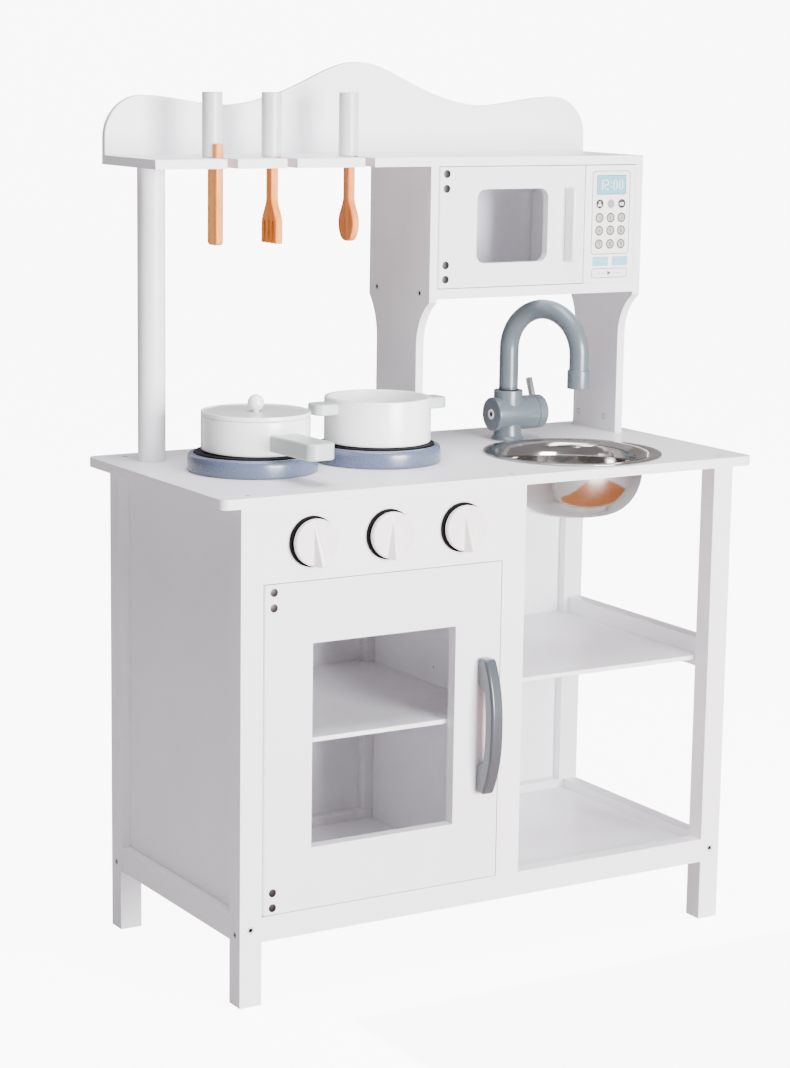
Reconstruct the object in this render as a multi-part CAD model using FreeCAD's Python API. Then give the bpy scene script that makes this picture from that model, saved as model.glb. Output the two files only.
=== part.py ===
import FreeCAD, Part
import math
import os

os.makedirs("parts", exist_ok=True)

# Toy kitchen, millimetres.  X runs left to right, Y front to back, Z up.
# The origin is on the floor, midway between the sides and midway between the
# front of the oven handle and the back edge of the worktop.

# ---------------------------------------------------------------- clearances
rest_gap = 0.3            # under and around pieces that lift off or turn
pin_gap = 0.05            # radial clearance of hinge pins and shafts
door_gap = 1.0            # beside a door leaf
door_gap_v = 0.8          # above and below a door leaf

# ------------------------------------------------------------------ worktop
worktop_width = 600.0
worktop_depth = 287.5
worktop_thick = 9.5
worktop_height = 481.0    # top face above the floor
worktop_corner = 8.0

# ------------------------------------------------------------- lower cabinet
leg_w = 22.8              # along X
leg_d = 20.7              # along Y
leg_inset_side = 21.4     # from the ends of the worktop
leg_inset_front = 5.0
leg_inset_back = 6.4
rail_thick = 16.0
rail_low = 61.2           # underside of the four bottom rails
rail_high = 85.3          # top of the four bottom rails
rail_setback = 1.0        # side and back rails behind the leg faces
mid_rail_low = 261.5
mid_rail_high = 291.5
panel_thick = 5.0
side_panel_setback = 11.0
back_panel_setback = 4.9
board_top = 76.0          # bottom board
board_thick = 5.0
stile_left = 3.5
stile_right = 29.5
stile_thick = 16.0
fascia_height = 72.0      # below the underside of the worktop
fascia_thick = 12.0
divider_left = 15.0
oven_shelf_top = 246.0
oven_shelf_thick = 4.5
oven_shelf_setback = 14.5
side_shelf_top = 274.0
side_shelf_thick = 4.5
side_shelf_setback = 23.5

# ---------------------------------------------------------------- oven door
door_thick = 12.0
window_margin_left = 51.0     # from the edges of the leaf
window_margin_right = 50.5
window_margin_low = 58.9
window_margin_high = 58.6
hinge_in = 4.0            # hinge axis behind the front face and inside the edge
pin_radius = 1.5
pin_depth = 12.0          # pin length inside the leaf
pin_root = 7.0            # pin length inside the fixed piece
hinge_leaf_edge = 2.6     # rounding of the leaf beside the hinge
screw_radius = 4.0
screw_depth = 2.2
oven_screw_inset = 10.2   # from the hinge side of the leaf
oven_screw_low = (6.4, 20.8)      # above the lower edge of the leaf
oven_screw_high = (21.9, 7.5)     # below the upper edge of the leaf
handle_reach = 28.0       # front of the oven handle ahead of the legs
handle_inset = 12.1       # from the free side of the leaf
handle_width = 13.0
handle_drop = 91.9        # top of the handle below the upper edge of the leaf
handle_length = 133.3
handle_foot = 27.0
handle_grip = 13.2        # thickness of the grip

# --------------------------------------------------------------- stove knobs
knob_x = (-205.9, -124.7, -43.5)
knob_turn = (9.0, 0.0, 9.0)    # pointers at rest, off straight down
knob_drop = 45.3          # knob axes below the top of the worktop
knob_base_radius = 23.8
knob_base_thick = 3.2
knob_radius = 22.0
knob_body_thick = 7.5
ridge_rise = 9.0          # pointer ridge ahead of the knob face
ridge_half_base = 13.0
ridge_half_top = 2.2
shaft_radius = 4.0

# ------------------------------------------------------------------- burners
burner_x = (-193.5, -55.5)
burner_y = 10.5
burner_radius = 62.5
burner_height = 17.2
burner_bevel = 5.0
plate_radius = 54.8
plate_proud = 1.8

# ---------------------------------------------------------- saucepan and pot
pan_radius = 52.4
pan_height = 33.0
pot_height = 44.0
wall = 4.0
lid_thick = 4.3
lid_plug = 3.0
lid_recess = 1.2
lid_border = 3.2
ball_radius = 7.9
ball_neck = 3.2
pan_shift = 3.0           # saucepan to the right of its burner
pan_handle_angle = -87.0  # direction seen from above, from +X
pan_handle_reach = 121.0
pan_handle_width = 30.0
pan_handle_thick = 16.0
pan_handle_low = 5.2      # above the underside of the pan
lug_reach = 74.5
lug_width = 25.0
lug_thick = 11.0
lug_low = 29.4            # above the underside of the pot

# ---------------------------------------------------------------------- sink
sink_x = 146.0
sink_y = -35.5
sink_flange_radius = 90.0
sink_mouth_radius = 83.3
sink_wall_radius = 69.6    # inside of the bowl below its shoulder
sink_floor_radius = 34.4   # where the curve of the wall meets the flat floor
sink_shoulder = 15.5       # depth over which the mouth narrows to the wall
sink_depth = 59.1
sheet = 1.4               # thickness of the pressed steel
sink_gap = 0.8            # between the bowl and its hole

# -------------------------------------------------------------------- faucet
faucet_x = 139.5
faucet_y = 72.8
foot_radius = 16.8
foot_neck = 13.8
foot_height = 13.0
barrel_radius = 17.5
barrel_rise = 27.1        # barrel axis above the worktop
barrel_left = 20.6        # ends of the barrel from the faucet axis
barrel_right = 30.0
hub_length = 10.4
collar_radius = 15.0
collar_top = 51.8         # above the worktop
tube_radius = 9.9
spout_bend = 43.9
spout_rise = 42.5         # straight tube above the collar
spout_drop = 15.8         # straight tube below the bend on the outlet side
spout_heading = -70.0
nozzle_radius = 11.5
nozzle_length = 18.7
nozzle_bore = 7.6
spigot_radius = 6.0
spigot_length = 14.0
lever_radius = 3.5
lever_length = 18.8       # above the hub
lever_tilt = 22.0
lever_root = 9.0          # lower end of the lever above the barrel axis
hub_spigot_radius = 7.0
hub_spigot_length = 9.0
lever_at = 4.2            # lever from the inner end of the hub

# ------------------------------------------------------------ microwave unit
upper_left = 19.3         # outer face of the left upper panel
upper_right = 277.9       # outer face of the right upper panel
upper_thick = 8.9
upper_depth = 117.25      # ahead of the back edge of the worktop
kink_rise = 148.6         # height above the worktop at which the panels narrow
cove_rise = 105.0         # upper end of the coves above the worktop
upper_neck_front = 23.5   # setback of the narrow part
upper_neck_back = 16.0
shelf_rise = 283.6        # underside of the top shelf above the worktop
shelf_thick = 9.0
unit_floor_rise = 152.0   # underside of the microwave floor above the worktop
oven_floor_thick = 10.0
unit_back_thick = 5.0
unit_wall_left = 216.0
unit_wall_thick = 5.0
micro_door_right = 205.0
micro_thick = 9.0
micro_window_margin_left = 44.8   # from the edges of the leaf
micro_window_margin_right = 45.0
micro_window_margin_low = 23.6
micro_window_margin_high = 22.4
micro_window_corner = 10.0
micro_screw_inset = 8.6
micro_screw_low = (8.7, 22.9)
micro_screw_high = (21.4, 6.8)
grip_inset = 12.0         # from the free side of the leaf
grip_width = 12.0
grip_margin_low = 23.2
grip_margin_high = 21.8
grip_reach = 14.5

# ------------------------------------------------- top shelf, crown, column
top_shelf_left = -282.2
slot_x = (-201.6, -137.2, -51.0)
slot_width = 11.2
slot_depth = 50.0
crown_thick = 6.6
crown_left = -282.2
crown_right = 280.0
crown_corner = 41.0       # radius of the outer shoulders
bump_rise = 57.4          # heights of the crown above the top shelf
valley_rise = 48.2
crown_valley_x = 147.0
peak_rise = 91.2
column_radius = 13.5
column_x = -254.7
column_y = 104.1

# ------------------------------------------------------------------ utensils
utensil_y = 80.5
utensil_radius = 9.8
utensil_height = 61.5
tool_thick = 8.0
tool_drop = 74.1          # lower end of the tools below the top shelf
tool_neck = 11.5
tool_head = 30.0
tool_head_length = 36.0
turner_width = 19.0
turner_ahead = 16.5       # front of the turner ahead of the handle axis
tool_ahead = 2.0          # fork and spoon ahead of the handle axis
tang = 13.0               # tool length inside the handle

# --------------------------------------------------------------------- bolts
bolt_head_radius = 3.4
bolt_head = 2.0
bolt_radius = 1.6
bolt_bite = 10.0          # length inside the second piece

# ----------------------------------------------------------- derived planes
y_back = (worktop_depth + handle_reach - leg_inset_front) / 2
y_front = y_back - worktop_depth
leg_front = y_front + leg_inset_front
leg_back = y_back - leg_inset_back
leg_out = worktop_width / 2 - leg_inset_side
leg_in = leg_out - leg_w
worktop_under = worktop_height - worktop_thick
front_in = leg_front + leg_d
back_in = leg_back - leg_d
fascia_low = worktop_under - fascia_height
knob_z = worktop_height - knob_drop
upper_kink = worktop_height + kink_rise
upper_arc_end = worktop_height + cove_rise
unit_front = y_back - upper_depth
oven_floor_low = worktop_height + unit_floor_rise
shelf_low = worktop_height + shelf_rise
shelf_high = shelf_low + shelf_thick
crown_bump = shelf_high + bump_rise
crown_valley = shelf_high + valley_rise
crown_peak = shelf_high + peak_rise
tool_end = shelf_low - tool_drop

pieces = {}


def box(x0, x1, y0, y1, z0, z1):
    return Part.makeBox(x1 - x0, y1 - y0, z1 - z0, FreeCAD.Vector(x0, y0, z0))


def rod(x, y, z, radius, length, axis):
    return Part.makeCylinder(radius, length, FreeCAD.Vector(x, y, z), FreeCAD.Vector(*axis))


def softened(shape, size, chosen):
    edges = [edge for edge in shape.Edges if chosen(edge)]
    return shape.makeFillet(size, edges)


def along(edge, axis):
    ends = [vertex.Point for vertex in edge.Vertexes]
    if len(ends) < 2:
        return False
    step = ends[1] - ends[0]
    other = [abs(value) for i, value in enumerate(step) if i != axis]
    return max(other) < 1e-6


def outline(points, closed=True):
    vectors = [FreeCAD.Vector(*point) for point in points]
    if closed:
        vectors.append(vectors[0])
    return Part.makePolygon(vectors)


def turned(profile, x, y, z):
    # profile: closed list of (radius, height) pairs, turned about a vertical axis
    wire = outline([(r, 0, h) for r, h in profile])
    solid = Part.Face(wire).revolve(FreeCAD.Vector(0, 0, 0), FreeCAD.Vector(0, 0, 1), 360)
    solid.translate(FreeCAD.Vector(x, y, z))
    return solid


def window_block(x0, x1, z0, z1, y0, y1, corner):
    block = box(x0, x1, y0, y1, z0, z1)
    return softened(block, corner, lambda edge: along(edge, 1))


# ================================================================ lower frame
worktop = box(-worktop_width / 2, worktop_width / 2, y_front, y_back, worktop_under, worktop_height)
worktop = softened(worktop, worktop_corner, lambda edge: along(edge, 2))
sink_hole = sink_mouth_radius + sheet + sink_gap
worktop = worktop.cut(rod(sink_x, sink_y, worktop_under - 1, sink_hole, worktop_thick + 2, (0, 0, 1)))
pieces["worktop"] = worktop

for side, x0 in (("left", -leg_out), ("right", leg_in)):
    pieces["leg_front_" + side] = box(x0, x0 + leg_w, leg_front, front_in, 0, worktop_under)
    pieces["leg_back_" + side] = box(x0, x0 + leg_w, back_in, leg_back, 0, worktop_under)

pieces["rail_front"] = box(-leg_in, leg_in, leg_front, leg_front + rail_thick, rail_low, rail_high)
pieces["rail_back"] = box(-leg_in, leg_in, back_in, back_in + rail_thick, rail_low, rail_high)
side_out = leg_out - rail_setback
side_in = side_out - rail_thick
pieces["rail_left"] = box(-side_out, -side_in, front_in, back_in, rail_low, rail_high)
pieces["rail_right"] = box(side_in, side_out, front_in, back_in, rail_low, rail_high)
pieces["rail_right_middle"] = box(side_in, side_out, front_in, back_in, mid_rail_low, mid_rail_high)

panel_out = leg_out - side_panel_setback
pieces["panel_left"] = box(
    -panel_out, -panel_out + panel_thick, front_in, back_in, rail_high, worktop_under
)
back_out = leg_back - back_panel_setback
back_face = back_out - panel_thick
pieces["panel_back"] = box(-leg_in, leg_in, back_face, back_out, rail_high, worktop_under)
pieces["post_back"] = box(stile_left, stile_right, back_in, back_face, rail_high, worktop_under)
pieces["stile"] = box(
    stile_left, stile_right, leg_front, leg_front + stile_thick, rail_high, worktop_under
)
pieces["fascia"] = box(
    -leg_in, stile_left, leg_front, leg_front + fascia_thick, fascia_low, worktop_under
)

board_front = leg_front + rail_thick
bottom_board = box(-side_in, side_in, board_front, back_in, board_top - board_thick, board_top)
pieces["bottom_board"] = bottom_board.cut(pieces["leg_front_left"]).cut(pieces["leg_front_right"])
pieces["divider"] = box(
    divider_left, divider_left + panel_thick, board_front, back_in, board_top, worktop_under
).cut(pieces["stile"])

oven_shelf = box(
    -panel_out + panel_thick,
    divider_left,
    leg_front + oven_shelf_setback,
    back_face,
    oven_shelf_top - oven_shelf_thick,
    oven_shelf_top,
)
for neighbour in ("leg_front_left", "leg_back_left", "post_back", "stile"):
    oven_shelf = oven_shelf.cut(pieces[neighbour])
pieces["oven_shelf"] = oven_shelf

side_shelf = box(
    divider_left + panel_thick,
    side_in,
    leg_front + side_shelf_setback,
    back_face,
    side_shelf_top - side_shelf_thick,
    side_shelf_top,
)
for neighbour in ("leg_front_right", "leg_back_right", "post_back", "stile"):
    side_shelf = side_shelf.cut(pieces[neighbour])
pieces["side_shelf"] = side_shelf


# ================================================================ hinged leaves
def leaf(x0, x1, z0, z1, front, thick):
    body = box(x0, x1, front, front + thick, z0, z1)
    return softened(
        body,
        hinge_leaf_edge,
        lambda edge: along(edge, 2)
        and abs(edge.Vertexes[0].X - x0) < 1e-6
        and abs(edge.Vertexes[0].Y - front) < 1e-6,
    )


def hinge_pins(x0, z0, z1, front, gap):
    x = x0 + hinge_in
    y = front + hinge_in
    lower = rod(x, y, z0 - gap - pin_root, pin_radius, pin_root + gap + pin_depth, (0, 0, 1))
    upper = rod(x, y, z1 - pin_depth, pin_radius, pin_root + gap + pin_depth, (0, 0, 1))
    return lower, upper


def pin_bores(x0, z0, z1, front):
    x = x0 + hinge_in
    y = front + hinge_in
    radius = pin_radius + pin_gap
    length = pin_depth + 1
    lower = rod(x, y, z0 - 1 + rest_gap, radius, length, (0, 0, 1))
    upper = rod(x, y, z1 - pin_depth - rest_gap, radius, length, (0, 0, 1))
    return lower.fuse(upper)


def face_screws(x, z0, z1, low, high, front):
    heights = [z0 + rise for rise in low] + [z1 - drop for drop in high]
    return [rod(x, front, z, screw_radius, screw_depth, (0, 1, 0)) for z in heights]


oven_x0 = -leg_in + door_gap
oven_x1 = stile_left - door_gap
oven_z0 = rail_high + door_gap_v
oven_z1 = fascia_low - door_gap_v
oven_back = leg_front + door_thick
window_left = oven_x0 + window_margin_left
window_right = oven_x1 - window_margin_right
window_low = oven_z0 + window_margin_low
window_high = oven_z1 - window_margin_high
oven_door = leaf(oven_x0, oven_x1, oven_z0, oven_z1, leg_front, door_thick)
oven_door = oven_door.cut(
    box(window_left, window_right, leg_front - 1, oven_back + 1, window_low, window_high)
)
oven_door = oven_door.cut(pin_bores(oven_x0, oven_z0, oven_z1, leg_front))
oven_screws = face_screws(
    oven_x0 + oven_screw_inset, oven_z0, oven_z1, oven_screw_low, oven_screw_high, leg_front
)
for screw in oven_screws:
    oven_door = oven_door.cut(screw)
pieces["oven_door"] = oven_door
pieces["oven_door_screws"] = Part.makeCompound(oven_screws)

handle_right = oven_x1 - handle_inset
handle_left = handle_right - handle_width
handle_high = oven_z1 - handle_drop
handle_low = handle_high - handle_length
handle_mid = (handle_low + handle_high) / 2
handle_front = leg_front - handle_reach
grip_in = handle_front + handle_grip
top_foot = handle_high - handle_foot
low_foot = handle_low + handle_foot


def pull_wire(x):
    corners = {
        "low": (x, leg_front, handle_low),
        "low_turn": (x, handle_front + 9.0, handle_low + 4.0),
        "low_out": (x, handle_front + 2.6, handle_low + 19.0),
        "high_out": (x, handle_front + 2.6, handle_high - 19.0),
        "high_turn": (x, handle_front + 9.0, handle_high - 4.0),
        "high": (x, leg_front, handle_high),
        "foot_high": (x, leg_front, top_foot),
        "grip_high": (x, grip_in + 2.0, top_foot - 9.0),
        "grip_low": (x, grip_in + 2.0, low_foot + 9.0),
        "foot_low": (x, leg_front, low_foot),
    }
    at = {name: FreeCAD.Vector(*point) for name, point in corners.items()}
    outer_mid = FreeCAD.Vector(x, handle_front, handle_mid)
    inner_mid = FreeCAD.Vector(x, grip_in, handle_mid)
    edges = [
        Part.LineSegment(at["low"], at["low_turn"]).toShape(),
        Part.LineSegment(at["low_turn"], at["low_out"]).toShape(),
        Part.Arc(at["low_out"], outer_mid, at["high_out"]).toShape(),
        Part.LineSegment(at["high_out"], at["high_turn"]).toShape(),
        Part.LineSegment(at["high_turn"], at["high"]).toShape(),
        Part.LineSegment(at["high"], at["foot_high"]).toShape(),
        Part.LineSegment(at["foot_high"], at["grip_high"]).toShape(),
        Part.Arc(at["grip_high"], inner_mid, at["grip_low"]).toShape(),
        Part.LineSegment(at["grip_low"], at["foot_low"]).toShape(),
        Part.LineSegment(at["foot_low"], at["low"]).toShape(),
    ]
    return Part.Wire(edges)


pull = Part.Face(pull_wire(handle_left)).extrude(FreeCAD.Vector(handle_right - handle_left, 0, 0))
pieces["oven_handle"] = pull

unit_x0 = upper_left + upper_thick
unit_x1 = upper_right - upper_thick
floor_top = oven_floor_low + oven_floor_thick
micro_x0 = unit_x0 + door_gap
micro_z0 = floor_top + door_gap_v
micro_z1 = shelf_low - door_gap_v
micro_back = unit_front + micro_thick
micro_door = leaf(micro_x0, micro_door_right, micro_z0, micro_z1, unit_front, micro_thick)
micro_door = micro_door.cut(
    window_block(
        micro_x0 + micro_window_margin_left,
        micro_door_right - micro_window_margin_right,
        micro_z0 + micro_window_margin_low,
        micro_z1 - micro_window_margin_high,
        unit_front - 1,
        micro_back + 1,
        micro_window_corner,
    )
)
micro_door = micro_door.cut(pin_bores(micro_x0, micro_z0, micro_z1, unit_front))
micro_screws = face_screws(
    micro_x0 + micro_screw_inset, micro_z0, micro_z1, micro_screw_low, micro_screw_high, unit_front
)
for screw in micro_screws:
    micro_door = micro_door.cut(screw)
pieces["microwave_door"] = micro_door
pieces["microwave_door_screws"] = Part.makeCompound(micro_screws)
grip_right = micro_door_right - grip_inset
grip_left = grip_right - grip_width
grip_low = micro_z0 + grip_margin_low
grip_high = micro_z1 - grip_margin_high
grip = box(grip_left, grip_right, unit_front - grip_reach, unit_front, grip_low, grip_high)
grip = softened(
    grip,
    3.0,
    lambda edge: along(edge, 2) and abs(edge.Vertexes[0].Y - (unit_front - grip_reach)) < 1e-6,
)
pieces["microwave_handle"] = grip

pins = list(hinge_pins(oven_x0, oven_z0, oven_z1, leg_front, door_gap_v))
pins += list(hinge_pins(micro_x0, micro_z0, micro_z1, unit_front, door_gap_v))
pieces["hinge_pins"] = Part.makeCompound(pins)

# ================================================================ upper unit
control_x0 = micro_door_right + door_gap


def arc_through(y_neck, y_kink):
    # cove that leaves the neck vertically and ends at the kink
    run = abs(y_kink - y_neck)
    rise = upper_kink - upper_arc_end
    radius = (run * run + rise * rise) / (2 * run)
    sign = 1 if y_kink > y_neck else -1
    half = math.asin(rise / radius) / 2
    y_mid = y_neck + sign * radius * (1 - math.cos(half))
    z_mid = upper_arc_end + radius * math.sin(half)
    return y_mid, z_mid


def upper_panel(x0):
    neck_f = unit_front + upper_neck_front
    neck_b = y_back - upper_neck_back
    mid_f = arc_through(neck_f, unit_front)
    mid_b = arc_through(neck_b, y_back)
    v = FreeCAD.Vector
    edges = [
        Part.LineSegment(v(x0, neck_f, worktop_height), v(x0, neck_f, upper_arc_end)).toShape(),
        Part.Arc(
            v(x0, neck_f, upper_arc_end), v(x0, *mid_f), v(x0, unit_front, upper_kink)
        ).toShape(),
        Part.LineSegment(v(x0, unit_front, upper_kink), v(x0, unit_front, shelf_low)).toShape(),
        Part.LineSegment(v(x0, unit_front, shelf_low), v(x0, y_back, shelf_low)).toShape(),
        Part.LineSegment(v(x0, y_back, shelf_low), v(x0, y_back, upper_kink)).toShape(),
        Part.Arc(v(x0, y_back, upper_kink), v(x0, *mid_b), v(x0, neck_b, upper_arc_end)).toShape(),
        Part.LineSegment(v(x0, neck_b, upper_arc_end), v(x0, neck_b, worktop_height)).toShape(),
        Part.LineSegment(v(x0, neck_b, worktop_height), v(x0, neck_f, worktop_height)).toShape(),
    ]
    return Part.Face(Part.Wire(edges)).extrude(FreeCAD.Vector(upper_thick, 0, 0))


pieces["upper_panel_left"] = upper_panel(upper_left)
pieces["upper_panel_right"] = upper_panel(unit_x1)
pieces["microwave_floor"] = box(unit_x0, unit_x1, unit_front, y_back, oven_floor_low, floor_top)
unit_back = y_back - unit_back_thick
pieces["microwave_back"] = box(unit_x0, unit_x1, unit_back, y_back, floor_top, shelf_low)
pieces["control_board"] = box(control_x0, unit_x1, unit_front, micro_back, floor_top, micro_z1)
pieces["microwave_wall"] = box(
    unit_wall_left, unit_wall_left + unit_wall_thick, micro_back, unit_back, floor_top, shelf_low
)

top_shelf = box(top_shelf_left, upper_right, unit_front, y_back, shelf_low, shelf_high)
for x in slot_x:
    top_shelf = top_shelf.cut(
        box(
            x - slot_width / 2,
            x + slot_width / 2,
            unit_front - 1,
            unit_front + slot_depth,
            shelf_low - 1,
            shelf_high + 1,
        )
    )
pieces["top_shelf"] = top_shelf


def crown_wire(y):
    v = FreeCAD.Vector
    middle = (crown_left + crown_right) / 2
    bump_x = (crown_right - crown_left) / 2 - crown_corner
    end_z = crown_bump - crown_corner
    bend = crown_corner * math.sqrt(0.5)
    right_half = [
        (27.0, crown_peak - 5.0),
        (62.0, crown_valley + 23.0),
        (103.0, crown_valley + 7.6),
        (crown_valley_x, crown_valley),
        (crown_valley_x + 46.0, crown_valley + 4.2),
        (bump_x - 12.0, crown_bump - 0.5),
        (bump_x, crown_bump),
    ]
    left = [v(middle - dx, y, z) for dx, z in reversed(right_half)]
    right = [v(middle + dx, y, z) for dx, z in right_half]
    curve = Part.BSplineCurve()
    curve.interpolate(left + [v(middle, y, crown_peak)] + right)
    foot_left = v(crown_left, y, shelf_high)
    foot_right = v(crown_right, y, shelf_high)
    end_left = v(crown_left, y, end_z)
    end_right = v(crown_right, y, end_z)
    bend_left = v(middle - bump_x - bend, y, end_z + bend)
    bend_right = v(middle + bump_x + bend, y, end_z + bend)
    edges = [
        Part.LineSegment(foot_left, end_left).toShape(),
        Part.Arc(end_left, bend_left, left[0]).toShape(),
        curve.toShape(),
        Part.Arc(right[-1], bend_right, end_right).toShape(),
        Part.LineSegment(end_right, foot_right).toShape(),
        Part.LineSegment(foot_right, foot_left).toShape(),
    ]
    return Part.Wire(edges)


crown_front = y_back - crown_thick
pieces["crown"] = Part.Face(crown_wire(crown_front)).extrude(FreeCAD.Vector(0, crown_thick, 0))
pieces["column"] = rod(
    column_x, column_y, worktop_height, column_radius, shelf_low - worktop_height, (0, 0, 1)
)


# ===================================================================== knobs
def knob(x, turn):
    back = leg_front - rest_gap
    front = back - knob_base_thick
    face = front - knob_body_thick
    base = rod(x, back, knob_z, knob_base_radius, knob_base_thick, (0, -1, 0))
    body = rod(x, front, knob_z, knob_radius, knob_body_thick, (0, -1, 0))
    body = softened(body, 1.6, lambda edge: abs(edge.BoundBox.YMin - face) < 1e-3)
    low = knob_z - knob_radius + 0.9
    high = knob_z + knob_radius - 3.4
    tip = face - ridge_rise
    foot = face + 3.0
    lower = outline(
        [
            (x - ridge_half_base, foot, low),
            (x + ridge_half_base, foot, low),
            (x + ridge_half_top, tip, low),
            (x - ridge_half_top, tip, low),
        ]
    )
    upper = outline(
        [
            (x - ridge_half_top * 2, foot, high),
            (x + ridge_half_top * 2, foot, high),
            (x + ridge_half_top / 2, face - 0.6, high),
            (x - ridge_half_top / 2, face - 0.6, high),
        ]
    )
    ridge = Part.makeLoft([lower, upper], True)
    limit = rod(x, back, knob_z, knob_radius, 60, (0, -1, 0))
    shaft_end = leg_front + fascia_thick + 3
    shaft = rod(x, back, knob_z, shaft_radius, shaft_end - back, (0, 1, 0))
    shape = base.fuse([body, ridge.common(limit), shaft]).removeSplitter()
    shape.rotate(FreeCAD.Vector(x, 0, knob_z), FreeCAD.Vector(0, -1, 0), turn)
    return shape


for name, x, turn in zip(("left", "middle", "right"), knob_x, knob_turn):
    pieces["knob_" + name] = knob(x, turn)
    shaft_hole = rod(x, leg_front - 1, knob_z, shaft_radius + pin_gap, fascia_thick + 2, (0, 1, 0))
    pieces["fascia"] = pieces["fascia"].cut(shaft_hole)

# =================================================================== burners
plate_bottom = 3.0
plate_top = burner_height + plate_proud
for name, x in zip(("left", "right"), burner_x):
    ring = turned(
        [
            (0, 0),
            (burner_radius, 0),
            (burner_radius, burner_height - burner_bevel),
            (burner_radius - burner_bevel * 0.4, burner_height - burner_bevel * 0.25),
            (burner_radius - burner_bevel, burner_height),
            (plate_radius, burner_height),
            (plate_radius, plate_top),
            (0, plate_top),
        ],
        x,
        burner_y,
        worktop_height,
    )
    pieces["burner_" + name] = ring

# ============================================================ saucepan, pot
cook_z = worktop_height + plate_top + rest_gap


def vessel(x, height):
    inner = pan_radius - wall
    profile = [
        (0, 0),
        (pan_radius - 2.5, 0),
        (pan_radius - 0.7, 0.7),
        (pan_radius, 2.5),
        (pan_radius, height),
        (inner, height),
        (inner, wall),
        (0, wall),
    ]
    return turned(profile, x, burner_y, cook_z)


pan_x = burner_x[0] + pan_shift
pot_x = burner_x[1]
pan = vessel(pan_x, pan_height)
pot = vessel(pot_x, pot_height)
pieces["pan_body"] = pan
pieces["pot_body"] = pot

handle_z = cook_z + pan_handle_low
bar = box(
    0,
    pan_handle_reach,
    -pan_handle_width / 2,
    pan_handle_width / 2,
    handle_z,
    handle_z + pan_handle_thick,
)
bar = softened(
    bar, 8.0, lambda edge: along(edge, 2) and abs(edge.Vertexes[0].X - pan_handle_reach) < 1e-6
)
bar.rotate(FreeCAD.Vector(0, 0, 0), FreeCAD.Vector(0, 0, 1), pan_handle_angle)
bar.translate(FreeCAD.Vector(pan_x, burner_y, 0))
pieces["pan_handle"] = bar.cut(
    rod(pan_x, burner_y, cook_z - 1, pan_radius, pan_height + 2, (0, 0, 1))
)

lug_z = cook_z + lug_low
for name, sign in (("left", -1), ("right", 1)):
    x_end = pot_x + sign * lug_reach
    lug = box(
        min(pot_x, x_end),
        max(pot_x, x_end),
        burner_y - lug_width / 2,
        burner_y + lug_width / 2,
        lug_z,
        lug_z + lug_thick,
    )
    lug = softened(
        lug, 7.0, lambda edge: along(edge, 2) and abs(edge.Vertexes[0].X - x_end) < 1e-6
    )
    pieces["pot_lug_" + name] = lug.cut(
        rod(pot_x, burner_y, cook_z - 1, pan_radius, pot_height + 2, (0, 0, 1))
    )

lid_z = cook_z + pan_height + rest_gap
plug_radius = pan_radius - wall - 2 * rest_gap
peg = 2.6
lid = turned(
    [
        (0, -lid_plug),
        (plug_radius, -lid_plug),
        (plug_radius, 0),
        (pan_radius, 0),
        (pan_radius, lid_thick - 0.8),
        (pan_radius - 0.8, lid_thick),
        (pan_radius - lid_border, lid_thick),
        (pan_radius - lid_border, lid_thick - lid_recess),
        (0, lid_thick - lid_recess),
    ],
    pan_x,
    burner_y,
    lid_z,
)
recess_z = lid_z + lid_thick - lid_recess
ball = Part.makeSphere(ball_radius, FreeCAD.Vector(pan_x, burner_y, recess_z + ball_radius + 0.8))
neck = rod(pan_x, burner_y, recess_z, ball_neck, 3.0, (0, 0, 1))
peg_rod = rod(pan_x, burner_y, recess_z - 4.0, peg, 6.0, (0, 0, 1))
pieces["lid_knob"] = ball.fuse([neck, peg_rod]).removeSplitter()
pieces["pan_lid"] = lid.cut(peg_rod)

# ====================================================================== sink
sink_z = worktop_height + rest_gap


def quarter(centre_x, centre_z, x_size, z_size, start):
    # quarter of an ellipse in the plane Y = 0, the axes along X and Z
    v = FreeCAD.Vector
    points = []
    for i in range(9):
        a = math.radians(start + 90 * i / 8)
        points.append(v(centre_x + x_size * math.cos(a), 0, centre_z + z_size * math.sin(a)))
    curve = Part.BSplineCurve()
    curve.interpolate(points)
    return curve.toShape(), points[0]


def sink_bowl():
    v = FreeCAD.Vector
    run = sink_wall_radius - sink_floor_radius
    drop = sink_depth - sink_shoulder
    width = sink_mouth_radius - sink_wall_radius
    inner, floor_in = quarter(sink_floor_radius, -sink_shoulder, run, drop, -90)
    outer, floor_out = quarter(
        sink_floor_radius, -sink_shoulder, run + sheet, drop + sheet, -90
    )
    lip_in, mouth_in = quarter(
        sink_mouth_radius, -sink_shoulder, width, sink_shoulder + sheet, 90
    )
    lip_out, mouth_out = quarter(
        sink_mouth_radius, -sink_shoulder, width - sheet, sink_shoulder, 90
    )
    rim_top = v(sink_flange_radius - 0.6, 0, sheet)
    rim_out = v(sink_flange_radius, 0, sheet / 2)
    rim_low = v(sink_flange_radius - 0.6, 0, 0)
    centre_in = v(0, 0, floor_in.z)
    centre_out = v(0, 0, floor_out.z)
    edges = [
        Part.LineSegment(centre_in, floor_in).toShape(),
        inner,
        lip_in,
        Part.LineSegment(mouth_in, rim_top).toShape(),
        Part.Arc(rim_top, rim_out, rim_low).toShape(),
        Part.LineSegment(rim_low, mouth_out).toShape(),
        lip_out,
        outer,
        Part.LineSegment(floor_out, centre_out).toShape(),
        Part.LineSegment(centre_out, centre_in).toShape(),
    ]
    wire = Part.Wire(Part.__sortEdges__(edges))
    solid = Part.Face(wire).revolve(v(0, 0, 0), v(0, 0, 1), 360)
    solid.translate(v(sink_x, sink_y, sink_z))
    return solid


pieces["sink"] = sink_bowl()

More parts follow.
